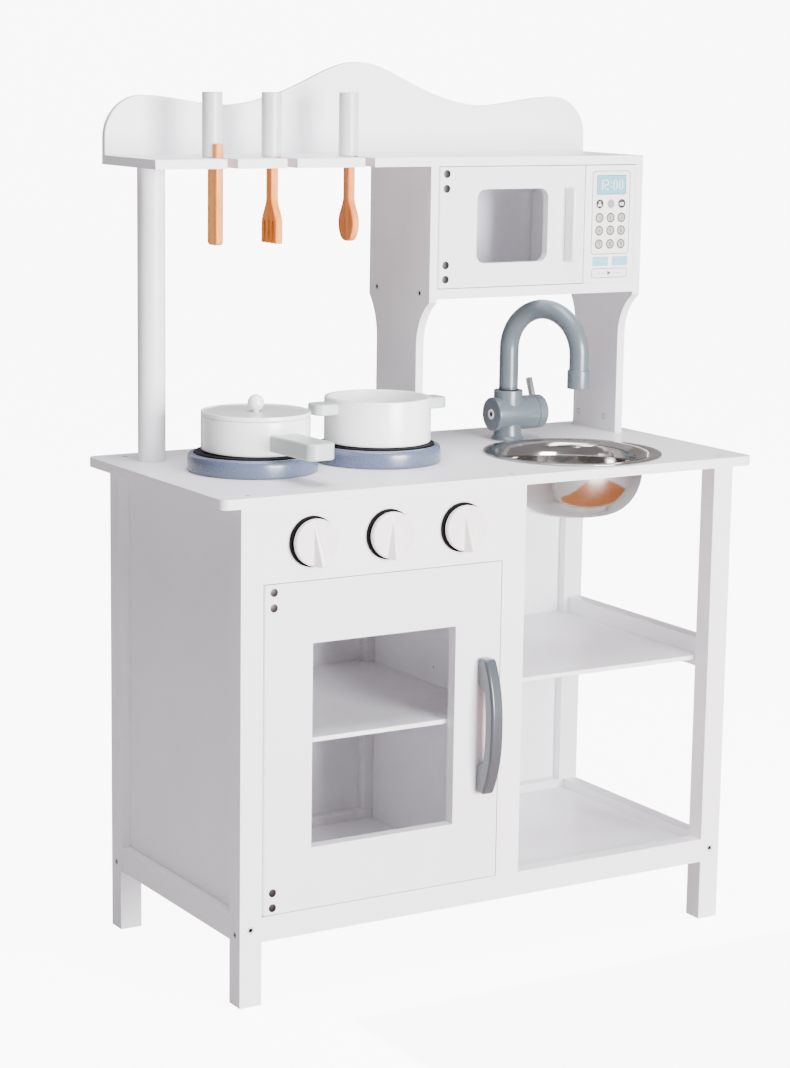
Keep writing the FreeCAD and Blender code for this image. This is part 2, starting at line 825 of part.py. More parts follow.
# ==================================================================== faucet
barrel_z = worktop_height + barrel_rise
foot = turned(
    [
        (0, 0),
        (foot_radius, 0),
        (foot_radius, 1.4),
        (foot_radius - 1.6, 3.5),
        (foot_neck + 0.4, 8.0),
        (foot_neck, foot_height),
        (foot_neck, barrel_rise),
        (0, barrel_rise),
    ],
    faucet_x,
    faucet_y,
    worktop_height,
)
collar = rod(
    faucet_x, faucet_y, barrel_z, collar_radius, collar_top - barrel_rise, (0, 0, 1)
)
collar = softened(
    collar, 1.2, lambda edge: abs(edge.BoundBox.ZMin - worktop_height - collar_top) < 1e-3
)
barrel = rod(
    faucet_x - barrel_left, faucet_y, barrel_z, barrel_radius, barrel_left + barrel_right, (1, 0, 0)
)
barrel = softened(
    barrel, 2.0, lambda edge: abs(edge.BoundBox.XMax - (faucet_x - barrel_left)) < 1e-3
)
spigot_hole = rod(
    faucet_x,
    faucet_y,
    worktop_height + collar_top - spigot_length - rest_gap,
    spigot_radius + pin_gap,
    spigot_length + 2,
    (0, 0, 1),
)
hub_start = faucet_x + barrel_right + rest_gap
hub_hole = rod(
    hub_start - rest_gap - hub_spigot_length - rest_gap,
    faucet_y,
    barrel_z,
    hub_spigot_radius + pin_gap,
    hub_spigot_length + 2,
    (1, 0, 0),
)
pieces["faucet_body"] = (
    foot.fuse([collar, barrel]).cut(spigot_hole).cut(hub_hole).removeSplitter()
)

hub = rod(hub_start, faucet_y, barrel_z, barrel_radius, hub_length, (1, 0, 0))
hub = softened(hub, 2.0, lambda edge: abs(edge.BoundBox.XMin - hub_start - hub_length) < 1e-3)
hub = hub.fuse(
    rod(
        hub_start - rest_gap - hub_spigot_length,
        faucet_y,
        barrel_z,
        hub_spigot_radius,
        hub_spigot_length + rest_gap,
        (1, 0, 0),
    )
)
lever = rod(
    hub_start + lever_at,
    faucet_y,
    barrel_z + lever_root,
    lever_radius,
    barrel_radius - lever_root + lever_length,
    (0, 0, 1),
)
lever = softened(
    lever, 0.9, lambda edge: edge.BoundBox.ZMin > barrel_z + barrel_radius + lever_length - 0.1
)
lever.rotate(FreeCAD.Vector(0, faucet_y, barrel_z), FreeCAD.Vector(1, 0, 0), -lever_tilt)
pieces["faucet_lever"] = lever
pieces["faucet_hub"] = hub.cut(lever).removeSplitter()


def spout():
    v = FreeCAD.Vector
    z0 = worktop_height + collar_top + rest_gap
    z1 = worktop_height + collar_top + spout_rise
    z2 = z1 - spout_drop
    rise = rod(0, 0, z0, tube_radius, z1 - z0, (0, 0, 1))
    bend = Part.makeTorus(
        spout_bend, tube_radius, v(spout_bend, 0, z1), v(0, -1, 0), 0, 360
    )
    above = box(-80, 180, -40, 40, z1, z1 + 120)
    bend = bend.common(above)
    drop = rod(2 * spout_bend, 0, z2, tube_radius, z1 - z2, (0, 0, 1))
    nozzle = rod(2 * spout_bend, 0, z2 - nozzle_length + 1.0, nozzle_radius, nozzle_length, (0, 0, 1))
    nozzle = softened(nozzle, 1.0, lambda edge: abs(edge.BoundBox.ZMin - z2 - 1.0) < 1e-3)
    pin = rod(0, 0, z0 - rest_gap - spigot_length, spigot_radius, spigot_length + rest_gap, (0, 0, 1))
    bore = rod(2 * spout_bend, 0, z2 - nozzle_length, nozzle_bore, nozzle_length - 2, (0, 0, 1))
    shape = rise.fuse([bend, drop, nozzle, pin]).cut(bore).removeSplitter()
    shape.rotate(v(0, 0, 0), v(0, 0, 1), spout_heading)
    shape.translate(v(faucet_x, faucet_y, 0))
    return shape


pieces["faucet_spout"] = spout()

# ================================================================== utensils
utensil_z = shelf_high + rest_gap
tool_y = utensil_y - tool_ahead
tang_top = utensil_z + tang


def tool_blank(x, y0, y1, z0, z1):
    return box(x - tool_thick / 2, x + tool_thick / 2, y0, y1, z0, z1)


def flat_tool(x, wire_edges):
    face = Part.Face(Part.Wire(Part.__sortEdges__(wire_edges)))
    blank = face.extrude(FreeCAD.Vector(tool_thick, 0, 0))
    blank.translate(FreeCAD.Vector(x - tool_thick / 2, 0, 0))
    return blank


def head_outline(end_square):
    # neck and head of the spoon or fork in the plane X = 0
    v = FreeCAD.Vector
    n = tool_neck / 2
    h = tool_head / 2
    top = tool_end + tool_head_length
    widest = tool_end + tool_head_length * 0.52
    sides = []
    for sign in (-1, 1):
        shoulder = Part.BSplineCurve()
        shoulder.interpolate(
            Points=[
                v(0, tool_y + sign * n, top + 6),
                v(0, tool_y + sign * (n + (h - n) * 0.55), top - 3.5),
                v(0, tool_y + sign * h, widest),
            ],
            InitialTangent=v(0, 0, -1),
            FinalTangent=v(0, 0, -1),
        )
        sides.append(shoulder.toShape())
        sides.append(
            Part.LineSegment(
                v(0, tool_y + sign * n, tang_top), v(0, tool_y + sign * n, top + 6)
            ).toShape()
        )
        if end_square:
            sides.append(
                Part.LineSegment(
                    v(0, tool_y + sign * h, widest), v(0, tool_y + sign * h, tool_end)
                ).toShape()
            )
    if end_square:
        sides.append(
            Part.LineSegment(
                v(0, tool_y - h, tool_end), v(0, tool_y + h, tool_end)
            ).toShape()
        )
    else:
        tip = Part.BSplineCurve()
        tip.interpolate(
            Points=[
                v(0, tool_y - h, widest),
                v(0, tool_y - h * 0.72, tool_end + 5.6),
                v(0, tool_y, tool_end),
                v(0, tool_y + h * 0.72, tool_end + 5.6),
                v(0, tool_y + h, widest),
            ],
            InitialTangent=v(0, 0, -1),
            FinalTangent=v(0, 0, 1),
        )
        sides.append(tip.toShape())
    sides.append(
        Part.LineSegment(
            v(0, tool_y - n, tang_top), v(0, tool_y + n, tang_top)
        ).toShape()
    )
    return sides


turner_x, fork_x, spoon_x = slot_x
turner_y0 = utensil_y - turner_ahead
turner = tool_blank(turner_x, turner_y0, turner_y0 + turner_width, tool_end, tang_top)
turner = softened(
    turner, 4.0, lambda edge: along(edge, 0) and abs(edge.Vertexes[0].Z - tool_end) < 1e-6
)
fork = flat_tool(fork_x, head_outline(True))
tines = 4
tine_gap = 3.0
tine_length = 21.0
tine_width = (tool_head - (tines - 1) * tine_gap) / tines
for i in range(tines - 1):
    y0 = tool_y - tool_head / 2 + tine_width + i * (tine_width + tine_gap)
    gap = tool_blank(fork_x, y0, y0 + tine_gap, tool_end - 1, tool_end + tine_length)
    gap = gap.fuse(
        rod(
            fork_x - tool_thick / 2,
            y0 + tine_gap / 2,
            tool_end + tine_length,
            tine_gap / 2,
            tool_thick,
            (1, 0, 0),
        )
    )
    fork = fork.cut(gap)
spoon = flat_tool(spoon_x, head_outline(False))
for name, x, tool in (("turner", turner_x, turner), ("fork", fork_x, fork), ("spoon", spoon_x, spoon)):
    grip = rod(x, utensil_y, utensil_z, utensil_radius, utensil_height, (0, 0, 1))
    grip = softened(
        grip, 0.8, lambda edge: abs(edge.BoundBox.ZMin - utensil_z - utensil_height) < 1e-3
    )
    pieces[name + "_handle"] = grip.cut(tool)
    pieces[name + "_tool"] = tool


# ===================================================================== bolts
def bolt(x, y, z, axis, through):
    # head sunk flush with the surface at (x, y, z), shank running along the axis
    head = rod(x, y, z, bolt_head_radius, bolt_head, axis)
    shank = rod(x, y, z, bolt_radius, through + bolt_bite, axis)
    return head.fuse(shank).removeSplitter()


leg_x = leg_out - leg_w / 2
leg_y_front = leg_front + leg_d / 2
leg_y_back = leg_back - leg_d / 2
side_bolt_z = rail_low + 7.4
front_bolt_z = rail_low + 13.2
bolts = []
bolt_hosts = []


def add_bolt(x, y, z, axis, through, hosts):
    bolts.append(bolt(x, y, z, axis, through))
    bolt_hosts.append(hosts)


for side, sx in (("left", -1), ("right", 1)):
    inward = (-sx, 0, 0)
    front_leg = "leg_front_" + side
    back_leg = "leg_back_" + side
    rail = "rail_" + side
    add_bolt(sx * leg_out, leg_y_front, side_bolt_z, inward, leg_w, [front_leg, "rail_front"])
    add_bolt(sx * leg_out, leg_y_back, side_bolt_z, inward, leg_w, [back_leg, "rail_back"])
    add_bolt(sx * leg_x, leg_front, front_bolt_z, (0, 1, 0), leg_d, [front_leg, rail])
    add_bolt(sx * leg_x, leg_back, front_bolt_z, (0, -1, 0), leg_d, [back_leg, rail])
    for y, leg in ((leg_y_front, front_leg), (leg_y_back, back_leg)):
        add_bolt(sx * leg_x, y, worktop_height, (0, 0, -1), worktop_thick, ["worktop", leg])
stile_x = (stile_left + stile_right) / 2
stile_y = leg_front + stile_thick / 2
add_bolt(stile_x, stile_y, worktop_height, (0, 0, -1), worktop_thick, ["worktop", "stile"])
floor_mid = oven_floor_low + oven_floor_thick / 2
for y in (unit_front + 19.3, y_back - 14.9):
    left = ["upper_panel_left", "microwave_floor"]
    right = ["upper_panel_right", "microwave_floor"]
    add_bolt(upper_left, y, floor_mid, (1, 0, 0), upper_thick, left)
    add_bolt(upper_right, y, floor_mid, (-1, 0, 0), upper_thick, right)
for one, hosts in zip(bolts, bolt_hosts):
    for host in hosts:
        pieces[host] = pieces[host].cut(one)
pieces["frame_bolts"] = Part.makeCompound(bolts)

for host in ("rail_front", "fascia", "microwave_floor", "top_shelf"):
    for pin in pins:
        pieces[host] = pieces[host].cut(pin)

# ==================================================================== export
for name, shape in pieces.items():
    for solid in shape.Solids:
        if not solid.isValid():
            raise ValueError(name + " is not a valid solid")
    if len(shape.Solids) == 1:
        shape = shape.Solids[0]
    shape.exportStep("parts/" + name + ".step")
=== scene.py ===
import math

import bmesh
import bpy
from mathutils import Matrix, Vector


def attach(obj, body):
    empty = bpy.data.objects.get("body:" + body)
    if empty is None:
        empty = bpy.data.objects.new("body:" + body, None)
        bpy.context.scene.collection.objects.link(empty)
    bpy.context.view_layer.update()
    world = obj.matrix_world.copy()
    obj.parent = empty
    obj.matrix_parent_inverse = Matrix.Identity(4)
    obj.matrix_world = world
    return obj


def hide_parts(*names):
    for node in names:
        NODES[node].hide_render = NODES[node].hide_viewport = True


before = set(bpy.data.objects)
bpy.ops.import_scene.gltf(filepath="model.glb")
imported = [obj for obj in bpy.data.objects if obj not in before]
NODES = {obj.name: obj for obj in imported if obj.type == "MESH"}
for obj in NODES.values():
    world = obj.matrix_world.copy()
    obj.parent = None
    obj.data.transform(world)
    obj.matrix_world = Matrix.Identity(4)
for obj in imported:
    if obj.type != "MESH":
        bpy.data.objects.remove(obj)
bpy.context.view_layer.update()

MM = 0.001


# ------------------------------------------------------------------ materials
def new_material(name):
    mat = bpy.data.materials.new(name)
    mat.use_nodes = True
    tree = mat.node_tree
    bsdf = tree.nodes["Principled BSDF"]
    coord = tree.nodes.new("ShaderNodeTexCoord")
    return mat, tree, bsdf, coord.outputs["Object"]


def mapped(tree, vector, scale=(1, 1, 1), location=(0, 0, 0)):
    node = tree.nodes.new("ShaderNodeMapping")
    node.inputs["Scale"].default_value = scale
    node.inputs["Location"].default_value = location
    tree.links.new(vector, node.inputs["Vector"])
    return node.outputs["Vector"]


def noise(tree, vector, scale, detail=3.0, rough=0.5, distortion=0.0):
    node = tree.nodes.new("ShaderNodeTexNoise")
    node.inputs["Scale"].default_value = scale
    node.inputs["Detail"].default_value = detail
    node.inputs["Roughness"].default_value = rough
    node.inputs["Distortion"].default_value = distortion
    tree.links.new(vector, node.inputs["Vector"])
    return node.outputs["Fac"]


def ramp(tree, fac, stops):
    node = tree.nodes.new("ShaderNodeValToRGB")
    elements = node.color_ramp.elements
    while len(elements) < len(stops):
        elements.new(0.5)
    for element, (place, colour) in zip(elements, stops):
        element.position = place
        element.color = (*colour, 1.0)
    tree.links.new(fac, node.inputs["Fac"])
    return node.outputs["Color"]


def spread(tree, fac, low, high):
    node = tree.nodes.new("ShaderNodeMapRange")
    node.inputs["To Min"].default_value = low
    node.inputs["To Max"].default_value = high
    tree.links.new(fac, node.inputs["Value"])
    return node.outputs["Result"]


def bump(tree, bsdf, heights, distance, strength=1.0):
    last = None
    for height, share in heights:
        node = tree.nodes.new("ShaderNodeBump")
        node.inputs["Strength"].default_value = strength * share
        node.inputs["Distance"].default_value = distance
        tree.links.new(height, node.inputs["Height"])
        if last is not None:
            tree.links.new(last, node.inputs["Normal"])
        last = node.outputs["Normal"]
    tree.links.new(last, bsdf.inputs["Normal"])


def shade(colour, factor):
    return tuple(min(1.0, c * factor) for c in colour)


def paint(name, colour, rough=0.42, coat=0.12, texture=420.0, depth=0.00006, mottle=0.03):
    """Sprayed or rolled paint: faint cloudiness, orange peel and a few uneven patches of gloss."""
    mat, tree, bsdf, vector = new_material(name)
    clouds = noise(tree, vector, 9.0, 4.0, 0.6)
    peel = noise(tree, vector, texture, 2.0, 0.45)
    grit = noise(tree, vector, texture * 6, 1.0)
    colours = ramp(
        tree,
        clouds,
        [(0.3, shade(colour, 1 - mottle)), (0.55, colour), (0.75, shade(colour, 1 + mottle * 0.4))],
    )
    tree.links.new(colours, bsdf.inputs["Base Color"])
    tree.links.new(spread(tree, peel, rough - 0.06, rough + 0.08), bsdf.inputs["Roughness"])
    bsdf.inputs["Coat Weight"].default_value = coat
    bsdf.inputs["Coat Roughness"].default_value = 0.22
    bump(tree, bsdf, [(peel, 0.5), (grit, 0.2)], depth)
    return mat


def plastic(name, colour, rough=0.3, texture=700.0, depth=0.00004, coat=0.2, specular=0.5):
    """Moulded plastic: flow clouds, fine spark-eroded grain and soft gloss changes."""
    mat, tree, bsdf, vector = new_material(name)
    flow = noise(tree, vector, 14.0, 3.0, 0.55, 0.6)
    grain = noise(tree, vector, texture, 2.0)
    fine = noise(tree, vector, texture * 3.5, 1.0)
    colours = ramp(
        tree,
        flow,
        [(0.3, shade(colour, 0.955)), (0.5, colour), (0.72, shade(colour, 1.035))],
    )
    tree.links.new(colours, bsdf.inputs["Base Color"])
    tree.links.new(spread(tree, grain, rough - 0.05, rough + 0.07), bsdf.inputs["Roughness"])
    bsdf.inputs["Coat Weight"].default_value = coat
    bsdf.inputs["Coat Roughness"].default_value = 0.15
    bsdf.inputs["Specular IOR Level"].default_value = specular
    bump(tree, bsdf, [(grain, 0.4), (fine, 0.25)], depth)
    return mat


def metal(name, colour, rough=0.2, brush=(1, 1, 1), depth=0.00001, scale=900.0):
    """Bare metal with fine scratches drawn out along one direction and faint smears."""
    mat, tree, bsdf, vector = new_material(name)
    bsdf.inputs["Metallic"].default_value = 1.0
    lines = noise(tree, mapped(tree, vector, brush), scale, 3.0, 0.6)
    smear = noise(tree, vector, 22.0, 4.0, 0.6, 1.0)
    colours = ramp(
        tree, smear, [(0.3, shade(colour, 0.9)), (0.5, colour), (0.75, shade(colour, 1.05))]
    )
    tree.links.new(colours, bsdf.inputs["Base Color"])
    tree.links.new(spread(tree, lines, rough * 0.7, rough * 1.5), bsdf.inputs["Roughness"])
    bump(tree, bsdf, [(lines, 0.5)], depth)
    return mat


def beech(name, light, dark, seed):
    """Beech: long soft growth bands along Z, short dark flecks and open pores."""
    mat, tree, bsdf, vector = new_material(name)
    long = mapped(tree, vector, (190, 90, 7), (seed, seed * 0.7, seed * 1.3))
    bands = noise(tree, long, 1.0, 5.0, 0.62, 0.9)
    fleck_place = mapped(tree, vector, (900, 900, 120), (seed * 2, 0, seed))
    flecks = noise(tree, fleck_place, 1.0, 2.0, 0.4)
    pores = noise(tree, mapped(tree, vector, (2600, 2600, 260)), 1.0, 1.0)
    wood = ramp(
        tree,
        bands,
        [(0.25, dark), (0.45, shade(dark, 1.12)), (0.6, light), (0.8, shade(light, 1.05))],
    )
    marks = ramp(tree, flecks, [(0.6, (1, 1, 1)), (0.68, (0.72, 0.6, 0.5))])
    mix = tree.nodes.new("ShaderNodeMix")
    mix.data_type = "RGBA"
    mix.blend_type = "MULTIPLY"
    mix.inputs["Factor"].default_value = 0.55
    tree.links.new(wood, mix.inputs[6])
    tree.links.new(marks, mix.inputs[7])
    tree.links.new(mix.outputs[2], bsdf.inputs["Base Color"])
    tree.links.new(spread(tree, bands, 0.5, 0.62), bsdf.inputs["Roughness"])
    bsdf.inputs["Subsurface Weight"].default_value = 0.05
    bsdf.inputs["Subsurface Radius"].default_value = (0.004, 0.002, 0.001)
    bump(tree, bsdf, [(bands, 0.35), (pores, 0.3)], 0.00012)
    return mat


def bowl_steel(name, centre):
    """Pressed, polished steel: concentric spinning lines about the bowl's axis and soft dimples."""
    mat, tree, bsdf, vector = new_material(name)
    bsdf.inputs["Metallic"].default_value = 1.0
    local = mapped(tree, vector, (1, 1, 1), (-centre[0], -centre[1], 0))
    rings = tree.nodes.new("ShaderNodeTexWave")
    rings.wave_type = "RINGS"
    rings.rings_direction = "Z"
    rings.inputs["Scale"].default_value = 260.0
    rings.inputs["Distortion"].default_value = 1.2
    rings.inputs["Detail"].default_value = 2.0
    tree.links.new(local, rings.inputs["Vector"])
    dimples = noise(tree, vector, 130.0, 1.0, 0.4)
    smear = noise(tree, vector, 18.0, 3.0, 0.5, 0.8)
    colours = ramp(
        tree, smear, [(0.3, (0.37, 0.35, 0.335)), (0.5, (0.44, 0.42, 0.40)), (0.75, (0.50, 0.485, 0.47))]
    )
    tree.links.new(colours, bsdf.inputs["Base Color"])
    tree.links.new(spread(tree, smear, 0.07, 0.16), bsdf.inputs["Roughness"])
    bump(tree, bsdf, [(rings.outputs["Fac"], 0.12), (dimples, 0.6)], 0.00009)
    return mat


WHITE = paint("white_paint", (0.89, 0.88, 0.91), 0.40)
LEAF_WHITE = paint("white_paint_doors", (0.83, 0.83, 0.88), 0.36)
PAN_WHITE = paint("pan_white", (0.97, 0.97, 0.97), 0.22, 0.5, 260.0, 0.00003, 0.02)
# Painted shade: the lid is white like the pan, and this light grey on its top face stands for the shade
# lying on it
LID_TOP_SHADE = paint("lid_top_painted_shade", (0.66, 0.67, 0.67), 0.35, 0.2, 300.0, 0.00004, 0.03)
SAGE = paint("sage_handles", (0.50, 0.56, 0.53), 0.38, 0.2, 340.0, 0.00005, 0.04)
CYLINDER = paint("utensil_grey", (0.66, 0.665, 0.685), 0.36, 0.2, 380.0, 0.00005, 0.04)
BURNER = plastic("burner_blue_grey", (0.086, 0.108, 0.168), 0.27, 900.0, 0.000015)
PLATE = plastic("hot_plate_black", (0.004, 0.004, 0.006), 0.5, 500.0, 0.00006, 0.0, 0.08)
FAUCET = plastic("faucet_grey", (0.100, 0.125, 0.143), 0.30, 900.0, 0.00003, 0.25)
PULL = plastic("pull_grey", (0.056, 0.068, 0.080), 0.20, 500.0, 0.00003, 0.25)
KNOB = plastic("knob_white", (0.86, 0.80, 0.795), 0.30, 600.0, 0.00003, 0.3)
BLACK = plastic("knob_back_black", (0.003, 0.003, 0.004), 0.6, 700.0, 0.00004, 0.0, 0.06)
BAR = plastic("bar_white", (0.86, 0.86, 0.86), 0.24, 600.0, 0.00003, 0.4)
STEEL = bowl_steel("sink_steel", (0.146, -0.0355))
CHROME = metal("lever_chrome", (0.70, 0.70, 0.74), 0.28, (1, 1, 0.05), 0.000004, 300.0)
ZINC = metal("screw_zinc", (0.032, 0.029, 0.029), 0.30, (1, 0.2, 1), 0.00003)
CAP = plastic("bolt_cap", (0.55, 0.55, 0.57), 0.4)
LABEL = paint("label_white", (0.86, 0.83, 0.81), 0.35, 0.3, 500.0, 0.00001, 0.02)
INK_GREY = paint("label_ink_grey", (0.065, 0.060, 0.055), 0.4, 0.2, 500.0, 0.00001, 0.05)
INK_BLACK = paint("label_ink_black", (0.015, 0.015, 0.015), 0.4, 0.2, 500.0, 0.00001, 0.05)
KEY_FACE = paint("label_key_face", (0.38, 0.37, 0.355), 0.4, 0.2, 500.0, 0.00001, 0.05)
KEY_FACE_DARK = paint("label_key_grey", (0.27, 0.265, 0.26), 0.4, 0.2, 500.0, 0.00001, 0.05)
DISPLAY = paint("label_display", (0.13, 0.44, 0.54), 0.3, 0.4, 500.0, 0.00001, 0.04)
DISPLAY_EDGE = paint("label_display_edge", (0.06, 0.15, 0.19), 0.35, 0.3, 500.0, 0.00001, 0.04)
KEY_BLUE = paint("label_key_blue", (0.24, 0.52, 0.70), 0.3, 0.4, 500.0, 0.00001, 0.04)
BEECH_A = beech("beech_turner", (0.84, 0.34, 0.060), (0.64, 0.21, 0.030), 1.7)
BEECH_B = beech("beech_fork", (0.88, 0.30, 0.030), (0.64, 0.18, 0.015), 5.3)
BEECH_C = beech("beech_spoon", (0.82, 0.27, 0.055), (0.58, 0.16, 0.030), 9.1)


# ---------------------------------------------------------------------- meshes
def link(obj):
    bpy.context.scene.collection.objects.link(obj)
    return obj


def smooth(obj, angle=35.0):
    for face in obj.data.polygons:
        face.use_smooth = True
    obj.data.set_sharp_from_angle(angle=math.radians(angle))


def finish_piece(obj, body, mat, *nodes, slot=None):
    obj.data.materials.clear()
    obj.data.materials.append(mat)
    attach(obj, body)
    if nodes:
        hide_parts(*nodes)
    return obj


def from_bmesh(name, bm, angle=35.0):
    bmesh.ops.remove_doubles(bm, verts=bm.verts, dist=1e-7)
    bmesh.ops.recalc_face_normals(bm, faces=bm.faces)
    mesh = bpy.data.meshes.new(name)
    bm.to_mesh(mesh)
    bm.free()
    obj = link(bpy.data.objects.new(name, mesh))
    smooth(obj, angle)
    return obj


def frame_along(axis):
    axis = Vector(axis).normalized()
    return axis.to_track_quat("Z", "Y").to_matrix().to_4x4()


def lathe(name, profile, at, axis=(0, 0, 1), steps=96):
    """Turns (radius, height) pairs, in mm, about an axis through the point at."""
    bm = bmesh.new()
    rows = []
    for radius, height in profile:
        if radius < 1e-6:
            rows.append([bm.verts.new((0, 0, height * MM))])
            continue
        row = []
        for i in range(steps):
            a = 2 * math.pi * i / steps
            row.append(
                bm.verts.new((radius * MM * math.cos(a), radius * MM * math.sin(a), height * MM))
            )
        rows.append(row)
    for low, high in zip(rows, rows[1:]):
        for i in range(steps):
            j = (i + 1) % steps
            quad = []
            for row, k in ((low, i), (low, j), (high, j), (high, i)):
                vert = row[k % len(row)] if len(row) > 1 else row[0]
                if vert not in quad:
                    quad.append(vert)
            if len(quad) > 2:
                bm.faces.new(quad)
    bm.transform(Matrix.Translation(Vector(at) * MM) @ frame_along(axis))
    return from_bmesh(name, bm)


def rounded(points, radius, steps=5):
    """Rounds the corners of an open (radius, height) profile."""
    out = [points[0]]
    for before, here, after in zip(points, points[1:], points[2:]):
        a, b, c = (Vector(p) for p in (before, here, after))
        u, v = a - b, c - b
        r = min(radius, u.length * 0.45, v.length * 0.45)
        p, q = b + u.normalized() * r, b + v.normalized() * r
        for i in range(steps + 1):
            t = i / steps
            out.append(tuple((1 - t) ** 2 * p + 2 * t * (1 - t) * b + t * t * q))
    out.append(points[-1])
    return out


def tube(name, path, radius, steps=48):
    """A round rod, closed at both ends, along a list of points in mm."""
    bm = bmesh.new()
    rows = []
    points = [Vector(p) * MM for p in path]
    normal = None
    for k, point in enumerate(points):
        ahead = points[min(k + 1, len(points) - 1)] - points[max(k - 1, 0)]
        ahead.normalize()
        if normal is None:
            normal = ahead.orthogonal().normalized()
        normal = (normal - ahead * normal.dot(ahead)).normalized()
        side = ahead.cross(normal)
        row = []
        for i in range(steps):
            a = 2 * math.pi * i / steps
            across = normal * math.cos(a) + side * math.sin(a)
            row.append(bm.verts.new(point + across * radius * MM))
        rows.append(row)
    for low, high in zip(rows, rows[1:]):
        for i in range(steps):
            j = (i + 1) % steps
            bm.faces.new((low[i], low[j], high[j], high[i]))
    bm.faces.new(rows[0])
    bm.faces.new(rows[-1])
    return from_bmesh(name, bm)


def prism(name, outline, plane, low, high, bevel=0.0, segments=3):
    """A board with a flat outline, in mm, drawn in plane XY, XZ or YZ."""
    axes = {"XY": (0, 1, 2), "XZ": (0, 2, 1), "YZ": (1, 2, 0)}[plane]
    bm = bmesh.new()
    sides = []
    for level in (low, high):
        row = []
        for u, v in outline:
            point = [0.0, 0.0, 0.0]
            point[axes[0]], point[axes[1]], point[axes[2]] = u * MM, v * MM, level * MM
            row.append(bm.verts.new(point))
        bm.faces.new(row)
        sides.append(row)
    count = len(outline)
    for i in range(count):
        j = (i + 1) % count
        bm.faces.new((sides[0][i], sides[0][j], sides[1][j], sides[1][i]))
    obj = from_bmesh(name, bm, 30)
    if bevel:
        soften(obj, bevel, segments)
    return obj


def soften(obj, width, segments=3, angle=34):
    edge = obj.modifiers.new("edges", "BEVEL")
    edge.width = width * MM
    edge.segments = segments
    edge.limit_method = "ANGLE"
    edge.angle_limit = math.radians(angle)
    edge.harden_normals = True


def dress(node, mat, bevel=0.0, segments=3):
    """Gives a CAD board its finish, with softened edges."""
    obj = NODES[node]
    obj.data.materials.clear()
    obj.data.materials.append(mat)
    if bevel:
        weld = obj.modifiers.new("weld", "WELD")
        weld.merge_threshold = 1e-6
        flat = obj.modifiers.new("flat", "DECIMATE")
        flat.decimate_type = "DISSOLVE"
        flat.angle_limit = math.radians(0.5)
        soften(obj, bevel, segments, 38)
    return obj


def join(name, *objs):
    """Merges meshes into one piece."""
    bm = bmesh.new()
    for obj in objs:
        piece = obj.data.copy()
        piece.transform(obj.matrix_world)
        bm.from_mesh(piece)
        bpy.data.meshes.remove(piece)
        bpy.data.objects.remove(obj)
    mesh = bpy.data.meshes.new(name)
    bm.to_mesh(mesh)
    bm.free()
    out = link(bpy.data.objects.new(name, mesh))
    smooth(out, 32)
    return out


def arc(cx, cy, radius, start, end, steps=10):
    return [
        (
            cx + radius * math.cos(math.radians(start + (end - start) * i / steps)),
            cy + radius * math.sin(math.radians(start + (end - start) * i / steps)),
        )
        for i in range(steps + 1)
    ]


def rounded_box(x0, x1, y0, y1, radius, steps=6):
    return (
        arc(x0 + radius, y0 + radius, radius, 180, 270, steps)
        + arc(x1 - radius, y0 + radius, radius, 270, 360, steps)
        + arc(x1 - radius, y1 - radius, radius, 0, 90, steps)
        + arc(x0 + radius, y1 - radius, radius, 90, 180, steps)
    )


# ------------------------------------------------------- boards and small parts
CAD_FINISH = {
    "oven_door": (LEAF_WHITE, 0.8, 3),
    "microwave_door": (LEAF_WHITE, 0.8, 3),
    "microwave_handle": (BAR, 1.0, 3),
    "hinge_pins": (ZINC, 0.0, 1),
}
for node in NODES:
    mat, bevel, segments = CAD_FINISH.get(node, (WHITE, 0.8, 3))
    dress(node, mat, bevel, segments)

# -------------------------------------------------------------- oven door pull
PULL_Z = (173.5, 306.8)
PULL_X = (-22.6, -9.6)
PULL_FRONT, PULL_ROOT = -155.25, -127.25


def pull_outline():
    """Side view of the bowed pull: two feet and a grip that stands furthest out in the middle."""
    middle, half = (PULL_Z[0] + PULL_Z[1]) / 2, (PULL_Z[1] - PULL_Z[0]) / 2

    def front(t):
        return PULL_FRONT + 15.0 * abs(t) ** 2.4

    outer = [(front(t / 24), middle + half * t / 24) for t in range(-24, 25)]
    inner = [(front(t / 24) + 14.2, middle + half * t / 24) for t in range(12, -13, -1)]
    top = [(PULL_ROOT, PULL_Z[1]), (PULL_ROOT, PULL_Z[1] - 27.0)]
    low = [(PULL_ROOT, PULL_Z[0] + 27.0), (PULL_ROOT, PULL_Z[0])]
    return outer + top + inner + low


pull = prism("oven_handle_bowed", pull_outline(), "YZ", PULL_X[0], PULL_X[1], 3.2, 6)
finish_piece(pull, "oven_door", PULL, "oven_handle", slot="handle_plastic")


# -------------------------------------------------------------------- knobs
KNOB_AXES = {"knob_left": (-205.9, 9.0), "knob_middle": (-124.7, 0.0), "knob_right": (-43.5, 9.0)}
KNOB_Z = 435.7
KNOB_BACK = -127.55
KNOB_R = 22.0


def soft_max(a, b, k=0.7):
    return (a + b + math.sqrt((a - b) ** 2 + k * k)) / 2


def knob_height(u, w):
    """Height of the moulded cap above its back at (u, w): a flat face with a pointer ridge."""
    top, low = 18.6, -21.1
    t = min(1.0, max(0.0, (top - w) / (top - low)))
    crest = 6.6 + t * 9.6
    crest_half = 0.7 + t * 1.9
    foot_half = 2.8 + t * 6.2
    side = max(0.0, abs(u) - crest_half) / (foot_half - crest_half)
    ridge = crest - side * (crest - 4.0)
    return soft_max(7.4, ridge) - 0.05


